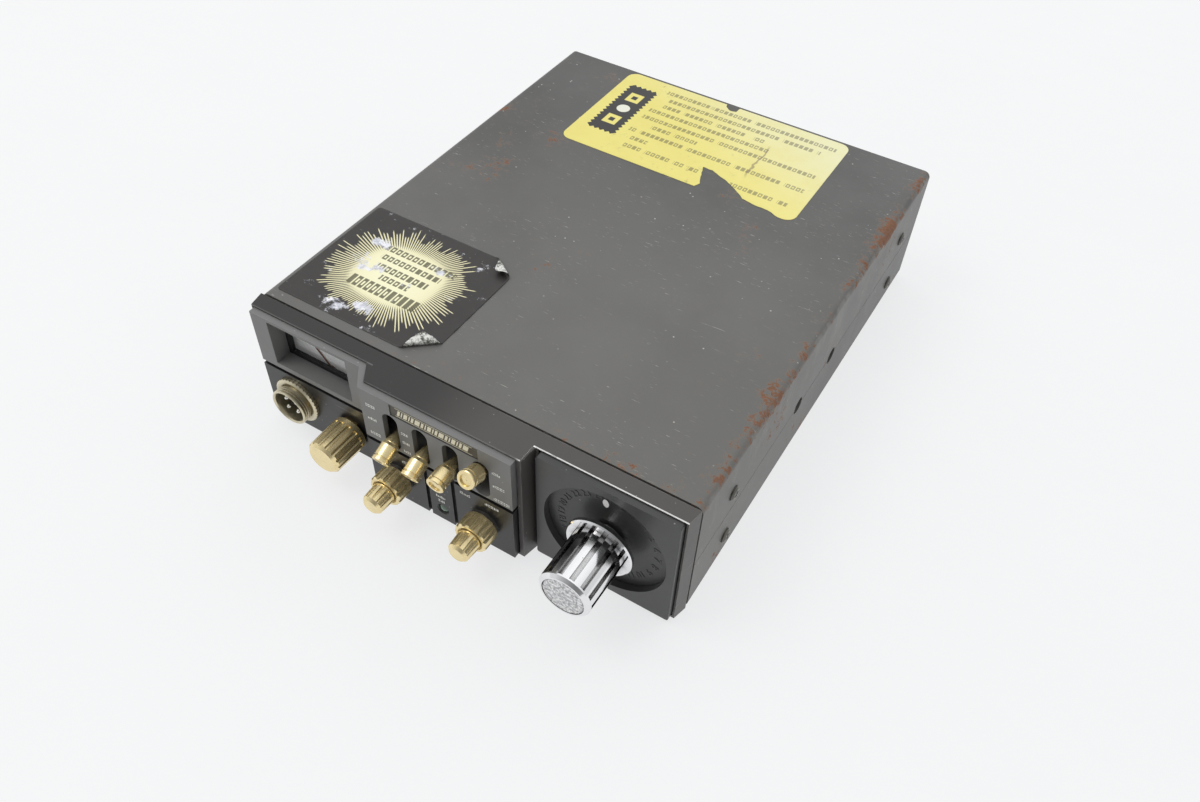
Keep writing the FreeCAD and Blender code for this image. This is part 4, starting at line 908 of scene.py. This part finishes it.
# ---------------------------------------------------------------- painting
GOLD = (0.90, 0.75, 0.42)
GOLD_DARK = (0.36, 0.25, 0.11)
NICKEL = (0.66, 0.60, 0.44)
NICKEL_DARK = (0.20, 0.16, 0.09)
STEEL = (0.50, 0.50, 0.49)
STEEL_DARK = (0.12, 0.11, 0.10)


def looks():
    """Which CAD nodes take which material."""
    enamel = case_enamel()
    gold = turned_metal("gold_anodised", GOLD, GOLD_DARK, 0.24, 0.05, 0.16, 0.25, 0.86)
    nickel = turned_metal("nickel_plate", NICKEL, NICKEL_DARK, 0.28, 0.10, 0.30, 0.55, 0.90)
    steel = turned_metal("turned_steel", STEEL, STEEL_DARK, 0.28)
    contact = turned_metal("silvered_contact", (0.80, 0.78, 0.72), NICKEL_DARK, 0.2)
    brass = turned_metal("turned_brass", (0.62, 0.44, 0.17), GOLD_DARK, 0.26)
    cans = sheet_metal("plated_can", (0.55, 0.55, 0.50), 0.3)
    insulator = plain_moulding("black_insulator", (0.018, 0.018, 0.018), 0.42)
    return {
        enamel: ["top_cover", "bottom_cover", "rear_panel"],
        moulded_black("bezel_black", (0.056, 0.051, 0.048), (0.074, 0.068, 0.064), 0.38, 0.55, True):
            ["front_bezel"],
        moulded_black("fascia_grey", (0.152, 0.152, 0.149), (0.182, 0.181, 0.178), 0.44, 0.30):
            ["upper_fascia"],
        moulded_black("panel_black", (0.009, 0.009, 0.010), (0.015, 0.015, 0.016), 0.34, 0.30):
            ["lower_fascia"],
        polished_black("plate_black", (0.042, 0.042, 0.042), 0.28): ["channel_plate"],
        polished_black("dial_black", (0.036, 0.036, 0.036), 0.36): ["channel_dial"],
        strip_metal(): ["name_strip"],
        gold: ["volume_knob", "left_outer_knob", "left_inner_knob", "right_outer_knob", "right_inner_knob",
               "lever_1", "lever_2", "lever_3", "lever_4"],
        nickel: ["mic_socket_shell", "mic_socket_nut", "antenna_socket", "speaker_jacks"],
        steel: ["volume_shaft", "left_outer_shaft", "left_inner_shaft", "right_outer_shaft",
                "right_inner_shaft", "channel_shaft", "lever_pins"],
        contact: ["mic_socket_pins", "antenna_contact", "power_pins"],
        brass: ["volume_nut"],
        cans: ["volume_control", "dual_controls", "channel_switch"],
        sheet_metal("tinned_can", (0.70, 0.70, 0.69), 0.22): ["tuning_cans"],
        sheet_metal("zinc_sheet", (0.55, 0.53, 0.46), 0.3, (900, 8, 900)): ["chassis", "speaker_frame"],
        insulator: ["mic_socket_insert", "lever_switches", "power_socket"],
        screw_black(): ["machine_screws", "dual_collars"],
        chrome(): ["channel_knob"],
        grained_silver(): ["channel_knob_cap"],
        green_lamp(): ["indicator_lens"],
        plain_moulding("meter_black", (0.012, 0.012, 0.013), 0.55): ["meter_housing"],
        meter_face(): ["meter_scale"],
        plain_moulding("needle_paint", (0.30, 0.12, 0.08), 0.45): ["meter_needle"],
        clear_window(): ["meter_lens"],
        plain_moulding("magnet_iron", (0.09, 0.09, 0.10), 0.5): ["meter_movement"],
        circuit_board(): ["main_board"],
        capacitor_sleeve(): ["capacitors"],
        sheet_metal("laminations", (0.13, 0.12, 0.11), 0.45, (900, 900, 12), 0.6): ["audio_transformer"],
        plain_moulding("epoxy_black", (0.016, 0.016, 0.016), 0.38): ["power_transistors"],
        sheet_metal("plain_aluminium", (0.62, 0.62, 0.62), 0.3, (900, 8, 900)): ["transistor_bracket"],
        doped_paper(): ["speaker_cone"],
        plain_moulding("ferrite", (0.035, 0.034, 0.034), 0.5): ["speaker_magnet"],
        plain_moulding("white_insulator", (0.66, 0.63, 0.55), 0.3): ["antenna_insulator"],
    }


def paint():
    painted = set()
    for material, nodes in looks().items():
        for name in nodes:
            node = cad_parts[name]
            node.data.materials.clear()
            node.data.materials.append(material)
            painted.add(name)
    missing = sorted(set(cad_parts) - painted)
    if missing:
        raise RuntimeError("unpainted nodes: " + ", ".join(missing))


# ---------------------------------------------------------------- studio
def add_floor():
    """Wide white cloth, far larger than the picture."""
    half = 4.0
    mesh = bpy.data.meshes.new("floor")
    bm = bmesh.new()
    bmesh.ops.create_grid(bm, x_segments=8, y_segments=8, size=half)
    bm.to_mesh(mesh)
    bm.free()
    mesh.materials.append(white_cloth())
    floor = bpy.data.objects.new("floor", mesh)
    floor.location = (0, 0, -0.05 * MM)
    bpy.context.scene.collection.objects.link(floor)


def add_area(name, place, aim, size, power, tint):
    """Soft rectangular lamp turned towards a point."""
    lamp = bpy.data.lights.new(name, "AREA")
    lamp.shape = "RECTANGLE"
    lamp.size, lamp.size_y = size
    lamp.energy = power
    lamp.color = tint
    holder = bpy.data.objects.new(name, lamp)
    holder.location = place
    holder.rotation_mode = "QUATERNION"
    holder.rotation_quaternion = (Vector(aim) - Vector(place)).to_track_quat("-Z", "Y")
    bpy.context.scene.collection.objects.link(holder)


def add_room():
    """Bright, nearly even surroundings, darker behind the camera where the room falls away."""
    world = bpy.data.worlds.new("room")
    world.use_nodes = True
    tree = world.node_tree
    tree.nodes.clear()
    place = tree.nodes.new("ShaderNodeTexCoord").outputs["Generated"]
    behind = tree.nodes.new("ShaderNodeVectorMath")
    behind.operation = "DOT_PRODUCT"
    behind.inputs[1].default_value = Vector((0.42, -0.84, 0.35)).normalized()
    tree.links.new(place, behind.inputs[0])
    ramp = tree.nodes.new("ShaderNodeValToRGB")
    stops = ((0.0, 1.0), (0.70, 0.98), (0.86, 0.55), (1.0, 0.28))
    ramp.color_ramp.elements.remove(ramp.color_ramp.elements[0])
    for index, (at, level) in enumerate(stops):
        if index == 0:
            element = ramp.color_ramp.elements[0]
            element.position = at
        else:
            element = ramp.color_ramp.elements.new(at)
        element.color = (level * 0.985, level * 0.995, level, 1.0)
    half = tree.nodes.new("ShaderNodeMapRange")
    half.inputs["From Min"].default_value = -1.0
    tree.links.new(behind.outputs["Value"], half.inputs["Value"])
    tree.links.new(half.outputs[0], ramp.inputs[0])
    height = tree.nodes.new("ShaderNodeSeparateXYZ")
    tree.links.new(place, height.inputs[0])
    overhead = tree.nodes.new("ShaderNodeMapRange")
    for key, value in (("From Min", 0.35), ("From Max", 0.95), ("To Min", 0.78), ("To Max", 1.22)):
        overhead.inputs[key].default_value = value
    tree.links.new(height.outputs["Z"], overhead.inputs["Value"])
    light = tree.nodes.new("ShaderNodeBackground")
    tree.links.new(overhead.outputs[0], light.inputs["Strength"])
    tree.links.new(ramp.outputs[0], light.inputs[0])
    output = tree.nodes.new("ShaderNodeOutputWorld")
    tree.links.new(light.outputs[0], output.inputs[0])
    bpy.context.scene.world = world


def add_camera():
    """Camera above the radio's front right corner, rolled slightly."""
    azimuth, elevation, roll = math.radians(29.3), math.radians(47.66), math.radians(-2.75)
    back = Vector((math.sin(azimuth) * math.cos(elevation), -math.cos(azimuth) * math.cos(elevation),
                   math.sin(elevation)))
    data = bpy.data.cameras.new("camera")
    data.sensor_width = 36.0
    data.lens = 30.58
    camera = bpy.data.objects.new("camera", data)
    camera.location = (151.53 * MM, -177.49 * MM, 305.62 * MM)
    camera.rotation_mode = "QUATERNION"
    level = (-back).to_track_quat("-Z", "Y")
    camera.rotation_quaternion = level @ Matrix.Rotation(-roll, 3, "Z").to_quaternion()
    bpy.context.scene.collection.objects.link(camera)
    bpy.context.scene.camera = camera


def set_tone():
    view = bpy.context.scene.view_settings
    view.view_transform = "Standard"
    view.look = "None"
    view.exposure = 0.0


paint()
yellow_label()
burst_sticker()
front_legends()
strip_bars()
dial_figures()
dial_index()
meter_print()
add_floor()
add_room()
add_area("key", (-0.62, -0.38, 1.25), (0, 0.08, 0.03), (0.7, 0.7), 4.5, (1.0, 0.99, 0.97))
add_area("back", (0.25, 1.35, 1.0), (0, 0.08, 0.03), (1.6, 0.8), 3.0, (0.96, 0.98, 1.0))
add_camera()
set_tone()
